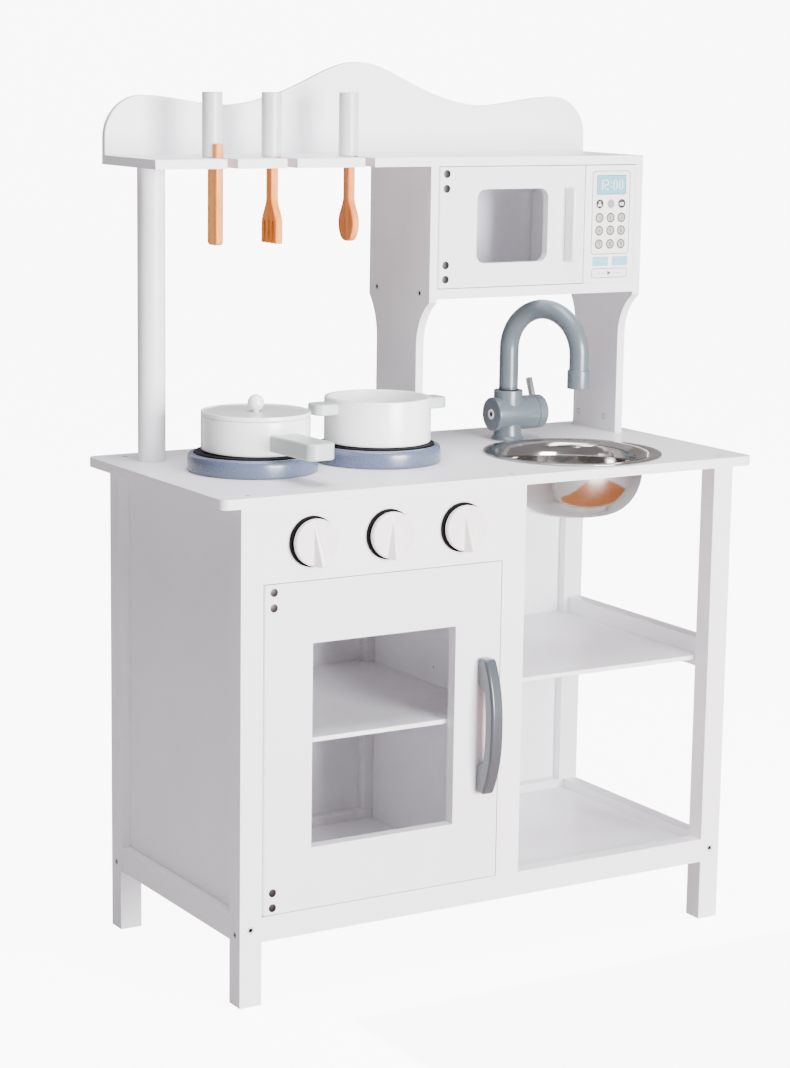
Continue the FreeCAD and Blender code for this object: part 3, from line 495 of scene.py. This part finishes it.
def knob_cap(name, turn):
    x = KNOB_AXES[name][0]
    bm = bmesh.new()
    steps = 144
    edge = 1.7
    radii = [(KNOB_R - edge) * k / 30 for k in range(1, 31)]
    radii += [KNOB_R - edge + edge * math.sin(math.pi / 2 * k / 6) for k in range(1, 7)]
    c, s = math.cos(math.radians(turn)), math.sin(math.radians(turn))

    def place(u, w, h):
        return ((x + u * c - w * s) * MM, (KNOB_BACK - 3.2 - h) * MM, (KNOB_Z + u * s + w * c) * MM)

    centre = bm.verts.new(place(0, 0, knob_height(0, 0)))
    rows = []
    for r in radii:
        past = max(0.0, r - (KNOB_R - edge))
        drop = edge - math.sqrt(max(0.0, edge * edge - past * past))
        row = []
        for i in range(steps):
            a = 2 * math.pi * i / steps
            u, w = r * math.cos(a), r * math.sin(a)
            row.append(bm.verts.new(place(u, w, knob_height(u, w) - drop)))
        rows.append(row)
    for r, h in ((KNOB_R - 0.3, 2.0), (KNOB_R - 1.1, 0.0)):
        row = []
        for i in range(steps):
            a = 2 * math.pi * i / steps
            row.append(bm.verts.new(place(r * math.cos(a), r * math.sin(a), h)))
        rows.append(row)
    for i in range(steps):
        j = (i + 1) % steps
        bm.faces.new((centre, rows[0][i], rows[0][j]))
        for low, high in zip(rows, rows[1:]):
            bm.faces.new((low[i], high[i], high[j], low[j]))
    return from_bmesh(name + "_cap", bm, 50)


for name, (x, turn) in KNOB_AXES.items():
    finish_piece(knob_cap(name, turn), name, KNOB, name, slot="knob_plastic")
    backing = lathe(
        name + "_backing",
        rounded([(0, 0), (23.7, 0), (23.7, 3.1), (21.0, 3.1), (0, 3.1)], 0.6),
        (x, KNOB_BACK, KNOB_Z),
        (0, -1, 0),
        128,
    )
    finish_piece(backing, name, BLACK, name)
    shaft = lathe(
        name + "_shaft",
        [(0, 0), (4.0, 0), (4.0, 14.0), (3.4, 14.8), (0, 14.8)],
        (x, KNOB_BACK, KNOB_Z),
        (0, 1, 0),
        48,
    )
    finish_piece(shaft, name, KNOB, name)

# ------------------------------------------------------------------ burners
TOP = 481.0
HOB_Y = 10.5
RING_SECTION = [
    (56.6, 2.0),
    (56.6, 0.0),
    (62.5, 0.0),
    (62.5, 12.4),
    (61.4, 16.0),
    (58.4, 17.2),
    (56.6, 17.2),
    (56.6, 2.0),
]
PLATE_SECTION = [(0, 18.7), (40, 18.7), (55.2, 18.7), (56.3, 17.6), (56.3, 2.0), (0, 2.0)]
for name, x in (("burner_left", -193.5), ("burner_right", -55.5)):
    ring = lathe(
        name + "_ring",
        rounded(RING_SECTION, 2.2),
        (x, HOB_Y, TOP),
    )
    finish_piece(ring, "cabinet", BURNER, name, slot="burner_plastic")
    plate = lathe(
        name + "_plate",
        rounded(PLATE_SECTION, 0.8),
        (x, HOB_Y, TOP),
    )
    finish_piece(plate, "cabinet", PLATE, name)

# ---------------------------------------------------------- saucepan and pot
COOK = 500.3
PAN_X, POT_X = -190.5, -55.5
PAN_R, PAN_INNER_R = 52.4, 48.4


def vessel(name, height):
    half = height * 0.5
    outer = rounded([(0, 0), (PAN_R, 0), (PAN_R, half)], 2.6, 8)
    rim = rounded([(PAN_R, half), (PAN_R, height), (PAN_INNER_R, height), (PAN_INNER_R, half)], 1.4, 6)
    inner = rounded([(PAN_INNER_R, half), (PAN_INNER_R, 4.0), (0, 4.0)], 5.0, 10)
    profile = outer + rim[1:] + inner[1:]
    x = PAN_X if name == "pan_body" else POT_X
    return lathe(name + "_turned", profile, (x, HOB_Y, COOK), steps=128)


def grip_outline(cx, cy, angle, reach, width, corner, root=52.2):
    """Outline of a flat grip that starts on a round wall and has a rounded free end."""
    half = width / 2
    start = math.degrees(math.asin(half / root))
    points = arc(0, 0, root, start, -start, 12)
    points += arc(reach - corner, -half + corner, corner, -90, 0, 10)
    points += arc(reach - corner, half - corner, corner, 0, 90, 10)
    c, s = math.cos(math.radians(angle)), math.sin(math.radians(angle))
    return [(cx + u * c - v * s, cy + u * s + v * c) for u, v in points]


finish_piece(vessel("pan_body", 33.0), "saucepan", PAN_WHITE, "pan_body", slot="pan_paint")
finish_piece(vessel("pot_body", 44.0), "pot", PAN_WHITE, "pot_body", slot="pan_paint")
grip = prism(
    "pan_handle_shaped",
    grip_outline(PAN_X, HOB_Y, -87.0, 121.0, 30.0, 9.0),
    "XY",
    COOK + 5.2,
    COOK + 21.2,
    2.6,
    5,
)
finish_piece(grip, "saucepan", SAGE, "pan_handle", slot="handle_paint")
for node, angle in (("pot_lug_left", 180.0), ("pot_lug_right", 0.0)):
    lug = prism(
        node + "_shaped",
        grip_outline(POT_X, HOB_Y, angle, 74.4, 25.0, 8.0),
        "XY",
        COOK + 29.4,
        COOK + 40.4,
        2.4,
        5,
    )
    finish_piece(lug, "pot", SAGE, node, slot="handle_paint")

LID = COOK + 33.3
LID_SECTION = [
    (0, -3.0),
    (47.8, -3.0),
    (47.8, 0.0),
    (PAN_R, 0.0),
    (PAN_R, 4.3),
    (50.6, 4.3),
    (50.2, 3.1),
    (0, 3.1),
]
lid_rim = lathe(
    "pan_lid_turned",
    rounded(LID_SECTION, 0.9, 4),
    (PAN_X, HOB_Y, LID),
    steps=128,
)
finish_piece(lid_rim, "pan_lid", PAN_WHITE, "pan_lid", slot="pan_paint")
# The lid's top face is painted grey as shade, while the rim keeps the white of the pan
lid_face = lathe(
    "pan_lid_face",
    [(0, 3.22), (49.6, 3.22), (49.9, 3.0), (0, 3.0)],
    (PAN_X, HOB_Y, LID),
    steps=128,
)
finish_piece(lid_face, "pan_lid", LID_TOP_SHADE, "pan_lid")
BALL_R = 7.9
ball_z = 3.1 + BALL_R + 0.8
ball = [(0, -0.9), (2.6, -0.9), (3.3, 0.1 + 3.1), (2.9, 4.4)]
ball += [
    (BALL_R * math.cos(math.radians(a)), ball_z + BALL_R * math.sin(math.radians(a)))
    for a in range(-68, 90, 6)
]
ball += [(0, ball_z + BALL_R)]
finish_piece(
    lathe("lid_knob_turned", ball, (PAN_X, HOB_Y, LID), steps=64),
    "pan_lid",
    PAN_WHITE,
    "lid_knob",
    slot="pan_paint",
)


# --------------------------------------------------------------------- sink
def quarter(cx, cz, rx, rz, start, steps=20):
    return [
        (
            cx + rx * math.cos(math.radians(start + 90 * i / steps)),
            cz + rz * math.sin(math.radians(start + 90 * i / steps)),
        )
        for i in range(steps + 1)
    ]


RIM_R = 0.7
bowl = [(0, -59.1)] + quarter(34.4, -15.5, 35.2, 43.6, -90)
bowl += list(reversed(quarter(83.3, -15.5, 13.7, 16.9, 90)))[1:]
bowl += [(86.5, 1.4)]
for a in range(90, -91, -20):
    bowl += [(89.3 + RIM_R * math.cos(math.radians(a)), RIM_R + RIM_R * math.sin(math.radians(a)))]
bowl += [(83.3, 0.0)] + quarter(83.3, -15.5, 12.3, 15.5, 90)[1:]
bowl += list(reversed(quarter(34.4, -15.5, 36.6, 45.0, -90)))[1:] + [(0, -60.5)]
finish_piece(
    lathe("sink_pressed", bowl, (146.0, -35.5, 481.3), steps=192), "sink", STEEL, "sink", slot="steel"
)

# ------------------------------------------------------------------- faucet
FX, FY = 139.5, 72.8
AXIS = TOP + 27.1
FOOT_SECTION = [
    (0, 0),
    (16.8, 0),
    (16.8, 1.6),
    (15.0, 4.0),
    (14.2, 8.5),
    (13.8, 14.0),
    (13.8, 27.0),
    (0, 27.0),
]
foot = lathe("foot", rounded(FOOT_SECTION, 1.0), (FX, FY, TOP))
collar = lathe(
    "collar",
    rounded([(0, 0), (15.0, 0), (15.0, 24.7), (10.5, 24.7), (10.5, 22.4), (0, 22.4)], 1.0),
    (FX, FY, AXIS),
)
barrel = lathe(
    "barrel",
    rounded(
        [(0, -20.6), (17.5, -20.6), (17.5, 29.9), (16.9, 30.0), (0, 30.0)],
        1.8,
    ),
    (FX, FY, AXIS),
    (1, 0, 0),
    128,
)
finish_piece(
    join("faucet_body_cast", foot, collar, barrel),
    "cabinet",
    FAUCET,
    "faucet_body",
    slot="faucet_plastic",
)
HUB = FX + 30.3
hub = lathe(
    "faucet_hub_turned",
    rounded([(0, 0), (16.9, 0), (17.5, 0.4), (17.5, 10.4), (0, 10.4)], 2.8, 8),
    (HUB, FY, AXIS),
    (1, 0, 0),
    128,
)
finish_piece(hub, "faucet_tap", FAUCET, "faucet_hub", slot="faucet_plastic")
tilt = math.radians(22)
lever = lathe(
    "faucet_lever_turned",
    rounded([(0, 9.0), (3.5, 9.0), (3.5, 36.3), (2.5, 36.3), (2.3, 35.6), (0, 35.6)], 0.5),
    (HUB + 4.2, FY, AXIS),
    (0, math.sin(tilt), math.cos(tilt)),
    48,
)
finish_piece(lever, "faucet_tap", CHROME, "faucet_lever", slot="chromed_rod")

HEADING = math.radians(-70)
BEND = 43.9
rise = TOP + 51.8 + 42.5
fall = rise - 15.8


def along_spout(reach, z):
    return (FX + reach * math.cos(HEADING), FY + reach * math.sin(HEADING), z)


SPOUT_FOOT = TOP + 52.1
straight = rise - SPOUT_FOOT - 1.0
path = [along_spout(0, SPOUT_FOOT + 1.0 + k * straight / 8) for k in range(9)]
path += [
    along_spout(BEND - BEND * math.cos(math.radians(a)), rise + BEND * math.sin(math.radians(a)))
    for a in range(4, 181, 4)
]
path += [along_spout(2 * BEND, fall)]
tube_body = tube("tube", path, 9.9, 64)
seat = lathe(
    "seat", rounded([(0, 0), (8.9, 0), (9.9, 1.2), (9.9, 3), (0, 3)], 0.3), (FX, FY, SPOUT_FOOT), steps=64
)
nozzle = lathe(
    "nozzle",
    rounded([(0, -15.0), (7.6, -15.0), (7.6, -17.7), (11.5, -17.7), (11.5, 1.0), (9.6, 1.0), (0, 1.0)], 0.9),
    along_spout(2 * BEND, fall),
    steps=72,
)
finish_piece(
    join("faucet_spout_bent", tube_body, seat, nozzle),
    "faucet_spout",
    FAUCET,
    "faucet_spout",
    slot="faucet_plastic",
)

badge = lathe(
    "faucet_badge",
    rounded([(2.7, 0), (5.4, 0), (5.4, 0.5), (2.7, 0.5)], 0.2) + [(2.7, 0)],
    (FX - 20.5, FY, AXIS),
    (-1, 0, 0),
    48,
)
finish_piece(badge, "cabinet", BAR)
badge_screw = lathe(
    "faucet_badge_screw",
    rounded([(0, 0.25), (2.0, 0.2), (2.6, 0.0), (2.6, -0.2)], 0.2),
    (FX - 20.6, FY, AXIS),
    (-1, 0, 0),
    32,
)
finish_piece(badge_screw, "cabinet", ZINC)

# ----------------------------------------------------------------- utensils
SHELF = 773.6
UY = 80.5
TOOL_Y = UY - 2.0
END_Z = 690.5
TANG = SHELF + 0.3 + 13.0
GRIP_R, GRIP_TOP = 9.8, 61.5
GRIP_SECTION = [
    (0, 0),
    (GRIP_R - 0.5, 0),
    (GRIP_R, 0.6),
    (GRIP_R, GRIP_TOP),
    (GRIP_R - 1.6, GRIP_TOP),
    (GRIP_R - 2.2, GRIP_TOP - 0.4),
    (0, GRIP_TOP - 0.4),
]


def tool_sides(square):
    """Right half of a fork or spoon head from the neck down, as (width, height)."""
    top = END_Z + 36.0
    curve = [(5.75, TANG), (5.75, top + 8)]
    for i in range(1, 13):
        t = i / 12
        s = t * t * (3 - 2 * t)
        curve.append((5.75 + 9.25 * s, top + 8 - t * (top + 8 - (END_Z + 19.0))))
    if square:
        curve.append((15.0, END_Z))
    else:
        for i in range(1, 13):
            a = math.pi / 2 * i / 12
            curve.append((15.0 * math.cos(a) ** 0.8, END_Z + 19.0 - 19.0 * math.sin(a) ** 0.95))
    return curve


def tool_outline(square):
    right = tool_sides(square)
    left = [(-w, z) for w, z in reversed(right)]
    points = []
    if square:
        notch = []
        for k in (-1, 0, 1):
            centre = k * 8.25
            notch.append((centre + 1.5, END_Z))
            notch += arc(centre, END_Z + 21.0, 1.5, 0, 180, 6)
            notch.append((centre - 1.5, END_Z))
        notch = [p for k in (2, 1, 0) for p in notch[k * 9:(k + 1) * 9]]
        points = right + notch + left
    else:
        points = right + left[1:]
    return [(TOOL_Y + w, z) for w, z in points]


for tool, x, mat in (("turner", -201.6, BEECH_A), ("fork", -137.2, BEECH_B), ("spoon", -51.0, BEECH_C)):
    if tool == "turner":
        outline = [(64.0, TANG), (64.0, END_Z + 4.0)]
        outline += arc(68.0, END_Z + 4.0, 4.0, 180, 270, 6)
        outline += arc(79.0, END_Z + 4.0, 4.0, 270, 360, 6)
        outline += [(83.0, TANG)]
    else:
        outline = tool_outline(tool == "fork")
    blade = prism(tool + "_cut", outline, "YZ", x - 4.0, x + 4.0, 1.3 if tool != "spoon" else 1.9, 4)
    finish_piece(blade, tool, mat, tool + "_tool", slot="beech")
    grip = lathe(
        tool + "_grip",
        rounded(GRIP_SECTION, 0.7),
        (x, UY, SHELF + 0.3),
        steps=72,
    )
    finish_piece(grip, tool, CYLINDER, tool + "_handle", slot="utensil_grey")


# ----------------------------------------------------------- screws and bolts
def dome(name, x, y, z, radius, rise, axis):
    """A slightly domed screw head whose rim lies just under the surface."""
    profile = [(0, rise)]
    for i in range(1, 9):
        r = radius * i / 8
        profile.append((r, rise * (1 - (i / 8) ** 2.2)))
    profile += [(radius, -0.6), (0, -0.6)]
    return lathe(name, profile, (x, y, z), axis, 40)


oven_screws = [
    dome("s", -244.6, -127.25, z, 4.0, 0.28, (0, -1, 0)) for z in (92.5, 106.9, 376.8, 391.2)
]
finish_piece(
    join("oven_door_screw_heads", *oven_screws), "oven_door", ZINC, "oven_door_screws", slot="hardware"
)
micro_screws = [
    dome("s", 37.8, 38.0, z, 4.0, 0.28, (0, -1, 0)) for z in (652.5, 666.7, 742.4, 757.0)
]
finish_piece(
    join("microwave_door_screw_heads", *micro_screws),
    "microwave_door",
    ZINC,
    "microwave_door_screws",
    slot="hardware",
)

LEG_OUT, LEG_X = 278.6, 267.2
LEG_FRONT, LEG_BACK = -127.25, 148.85
bolt_places = []
for s in (-1, 1):
    for y in (LEG_FRONT + 10.35, LEG_BACK - 10.35):
        bolt_places.append(((s * LEG_OUT, y, 68.6), (s, 0, 0)))
        bolt_places.append(((s * LEG_X, y, TOP), (0, 0, 1)))
    bolt_places.append(((s * LEG_X, LEG_FRONT, 74.4), (0, -1, 0)))
    bolt_places.append(((s * LEG_X, LEG_BACK, 74.4), (0, 1, 0)))
bolt_places.append(((16.5, LEG_FRONT + 8.0, TOP), (0, 0, 1)))
for y in (57.3, 140.35):
    bolt_places.append(((19.3, y, 638.0), (-1, 0, 0)))
    bolt_places.append(((277.9, y, 638.0), (1, 0, 0)))
rings, socket_shades = [], []
for place, axis in bolt_places:
    rings.append(
        lathe("r", rounded([(2.0, -1.2), (2.0, 0.0), (3.3, 0.0), (3.3, -1.2)], 0.3), place, axis, 36)
    )
    # Painted shade: a black hex floor sunk 0.7 mm in each bolt head stands for the dark of a deep socket
    # hole
    socket_shades.append(lathe("k", [(0, -0.7), (2.05, -0.7), (2.05, -1.2)], place, axis, 6))
finish_piece(join("frame_bolt_heads", *rings), "cabinet", CAP, "frame_bolts", slot="bolt_caps")
# The socket floors get black as painted shade, not as the colour of the bolt
finish_piece(join("frame_bolt_socket_shades", *socket_shades), "cabinet", BLACK, "frame_bolts")

RING_MARK = rounded([(1.9, 0), (1.9, 0.15), (3.4, 0.15), (3.4, 0)], 0.1)
DOT_MARK = rounded([(0, 0.08), (1.6, 0.08), (1.6, 0)], 0.05)
marks = [lathe("m", RING_MARK, (269.0, y, 496.0), (-1, 0, 0), 32) for y in (128.8, 82.6)]
marks.append(lathe("m", DOT_MARK, (15.0, 11.5, 264.0), (-1, 0, 0), 24))
finish_piece(join("panel_fixing_marks", *marks), "cabinet", CAP)

plates = [
    prism("p", rounded_box(-254.4, -238.4, -126.8, -118.0, 0.5, 3), "XY", z, z + 0.4)
    for z in (398.9, 85.5)
]
finish_piece(join("oven_pivot_plates", *plates), "cabinet", ZINC)

# ------------------------------------------------------------- control label
FACE_Y = 38.0


def label(name, outline, mat, height, depth=0.06):
    return finish_piece(
        prism(name, outline, "XZ", FACE_Y - height - depth, FACE_Y - height), "cabinet", mat
    )


def framed(name, x0, x1, z0, z1, radius, line, mat_line, mat_in, height):
    label(name + "_edge", rounded_box(x0, x1, z0, z1, radius), mat_line, height)
    label(
        name + "_field",
        rounded_box(x0 + line, x1 - line, z0 + line, z1 - line, max(0.3, radius - line)),
        mat_in,
        height + 0.03,
    )


framed("label_frame", 214.4, 262.2, 672.6, 758.2, 3.2, 0.7, INK_GREY, LABEL, 0.0)
framed("label_display", 220.0, 256.8, 733.8, 753.8, 1.2, 0.7, DISPLAY_EDGE, DISPLAY, 0.05)
framed("label_pill", 215.8, 260.9, 648.2, 658.2, 2.6, 0.65, INK_GREY, LABEL, 0.0)
label("label_key_left", rounded_box(216.7, 236.6, 660.6, 670.2, 1.0), KEY_BLUE, 0.0)
label("label_key_right", rounded_box(241.3, 261.2, 660.6, 670.2, 1.0), KEY_BLUE, 0.0)


def seven(digit):
    return {
        "0": "abcdef", "1": "bc", "2": "abged", "3": "abgcd", "4": "fgbc",
        "5": "afgcd", "6": "afgedc", "7": "abc", "8": "abcdefg", "9": "abcdfg",
    }[digit]


def digit_bars(digit, x, z, width, height, bar):
    half = height / 2
    shapes = {
        "a": (x, x + width, z + height - bar, z + height),
        "g": (x, x + width, z + half - bar / 2, z + half + bar / 2),
        "d": (x, x + width, z, z + bar),
        "f": (x, x + bar, z + half, z + height),
        "b": (x + width - bar, x + width, z + half, z + height),
        "e": (x, x + bar, z, z + half),
        "c": (x + width - bar, x + width, z, z + half),
    }
    return [shapes[k] for k in seven(digit)]


def bars_piece(name, bars, mat, height):
    front, back = FACE_Y - height - 0.05, FACE_Y - height
    parts = []
    for x0, x1, z0, z1 in bars:
        parts.append(prism("b", [(x0, z0), (x1, z0), (x1, z1), (x0, z1)], "XZ", front, back))
    return finish_piece(join(name, *parts), "cabinet", mat)


clock = []
for digit, x in (("1", 222.5), ("2", 229.5), ("0", 240.5), ("0", 247.8)):
    clock += digit_bars(digit, x, 738.6, 5.2, 10.4, 1.1)
clock += [(237.1, 238.3, 741.0, 742.2), (237.1, 238.3, 745.6, 746.8)]
bars_piece("label_clock", clock, LABEL, 0.13)

columns = (224.2, 238.3, 252.0)
rows = (710.2, 697.0, 683.1)
discs, faces, numbers = [], [], []
digits = iter("123456789")
for z in rows:
    for x in columns:
        discs.append(prism("d", arc(x, z, 5.1, 0, 345, 23), "XZ", FACE_Y - 0.10, FACE_Y - 0.04))
        faces.append(prism("d", arc(x, z, 3.7, 0, 345, 23), "XZ", FACE_Y - 0.13, FACE_Y - 0.08))
        numbers += digit_bars(next(digits), x - 1.1, z - 2.0, 2.2, 4.0, 0.55)
finish_piece(join("label_key_rings", *discs), "cabinet", INK_GREY)
finish_piece(join("label_key_faces", *faces), "cabinet", KEY_FACE)
bars_piece("label_numbers", numbers, INK_GREY, 0.13)

z = 724.4
label("label_icon_left", arc(columns[0], z, 4.7, 0, 345, 23), INK_BLACK, 0.05)
label("label_icon_middle", arc(columns[1], z, 4.5, 0, 345, 23), KEY_FACE_DARK, 0.05)
label("label_icon_right", arc(columns[2], z, 4.7, 0, 345, 23), INK_BLACK, 0.05)
left, right_side = columns[0], columns[2]
label("label_icon_pot", rounded_box(left - 2.4, left + 2.4, z - 2.4, z - 0.2, 0.7), LABEL, 0.10)
label("label_icon_lid", rounded_box(left - 1.2, left + 1.2, z + 0.6, z + 2.3, 0.6), LABEL, 0.10)
bowl_icon = rounded_box(right_side - 2.6, right_side + 2.6, z - 1.9, z + 1.3, 1.5)
label("label_icon_bowl", bowl_icon, LABEL, 0.10)
label("label_icon_dot", arc(columns[2], z - 0.3, 0.8, 0, 330, 11), INK_BLACK, 0.14)
play = [(236.0, 650.9), (240.9, 653.2), (236.0, 655.5)]
label("label_pill_mark", play, INK_GREY, 0.06)
dashes = [(x + 3 * k, x + 1.6 + 3 * k, 652.8, 653.6) for x in (225.0, 244.0) for k in range(3)]
bars_piece("label_pill_dashes", dashes, INK_GREY, 0.06)


# ----------------------------------------------------------------------- stage
def stage_floor():
    bm = bmesh.new()
    start, bend = 7.0, 1.5
    depth = [(-16.0, 0.0), (start, 0.0)]
    for i in range(1, 17):
        a = math.pi / 2 * i / 16
        depth.append((start + bend * math.sin(a), bend - bend * math.cos(a)))
    depth += [(start + bend, 12.0)]
    rows = []
    for y, z in depth:
        rows.append([bm.verts.new((x, y, z - 0.0005)) for x in (-16.0, 17.0)])
    for low, high in zip(rows, rows[1:]):
        bm.faces.new((low[0], low[1], high[1], high[0]))
    floor = from_bmesh("studio_floor", bm)
    mat, tree, bsdf, vector = new_material("studio_white")
    clouds = noise(tree, vector, 3.0)
    tree.links.new(
        ramp(tree, clouds, [(0.3, (0.52, 0.48, 0.49)), (0.7, (0.55, 0.51, 0.52))]),
        bsdf.inputs["Base Color"],
    )
    bsdf.inputs["Roughness"].default_value = 0.85
    bsdf.inputs["Emission Color"].default_value = (0.985, 1.0, 0.99, 1)
    path = tree.nodes.new("ShaderNodeLightPath")
    tree.links.new(
        spread(tree, path.outputs["Is Camera Ray"], 0.15, 9.0), bsdf.inputs["Emission Strength"]
    )
    floor.data.materials.append(mat)


def warm_card():
    """A brown board on the floor in front, hidden from the camera, for the steel to reflect."""
    corners = [(-0.2, -1.9), (1.1, -1.9), (1.1, -0.2), (-0.2, -0.2)]
    bm = bmesh.new()
    bm.faces.new([bm.verts.new((x, y, 0.002)) for x, y in corners])
    card = from_bmesh("studio_card", bm)
    mat, tree, bsdf, vector = new_material("studio_brown")
    grain = noise(tree, mapped(tree, vector, (1, 9, 1)), 6.0, 4.0)
    tree.links.new(
        ramp(tree, grain, [(0.3, (0.36, 0.10, 0.02)), (0.7, (0.55, 0.18, 0.05))]),
        bsdf.inputs["Base Color"],
    )
    bsdf.inputs["Roughness"].default_value = 0.6
    card.data.materials.append(mat)
    card.visible_camera = False


def area_light(name, place, target, size, power, colour=(1, 1, 1)):
    data = bpy.data.lights.new(name, "AREA")
    data.shape = "RECTANGLE"
    data.size, data.size_y = size
    data.energy = power
    data.color = colour
    lamp = link(bpy.data.objects.new(name, data))
    lamp.location = place
    lamp.rotation_euler = (Vector(target) - Vector(place)).to_track_quat("-Z", "Y").to_euler()
    return lamp


stage_floor()
warm_card()
world = bpy.data.worlds.new("studio")
bpy.context.scene.world = world
world.use_nodes = True
world.node_tree.nodes["Background"].inputs["Color"].default_value = (1.0, 0.93, 0.97, 1)
world.node_tree.nodes["Background"].inputs["Strength"].default_value = 0.43
area_light("key", (0.55, -3.4, 0.75), (0, 0, 0.45), (1.5, 1.5), 420, (0.985, 0.99, 1.0))
area_light("top", (-0.1, -0.4, 2.7), (-0.05, 0, 0.5), (1.6, 1.6), 92, (0.97, 0.98, 1.0))

# ---------------------------------------------------------------------- camera
yaw, pitch, roll = -0.54712, -0.18259, 0.01464
forward = Vector((-math.sin(yaw) * math.cos(pitch), math.cos(yaw) * math.cos(pitch), math.sin(pitch)))
right = Vector((math.cos(yaw), math.sin(yaw), 0))
up = right.cross(forward)
turned_right = right * math.cos(roll) + up * math.sin(roll)
turned_up = up * math.cos(roll) - right * math.sin(roll)
lens = bpy.data.cameras.new("camera")
lens.sensor_width = 36.0
lens.lens = 2611.585 / 1068 * 36
lens.clip_end = 50
camera = link(bpy.data.objects.new("camera", lens))
turn = Matrix((turned_right, turned_up, -forward)).transposed().to_4x4()
camera.matrix_world = Matrix.Translation((-1.35822, -2.16434, 0.87532)) @ turn
bpy.context.scene.camera = camera
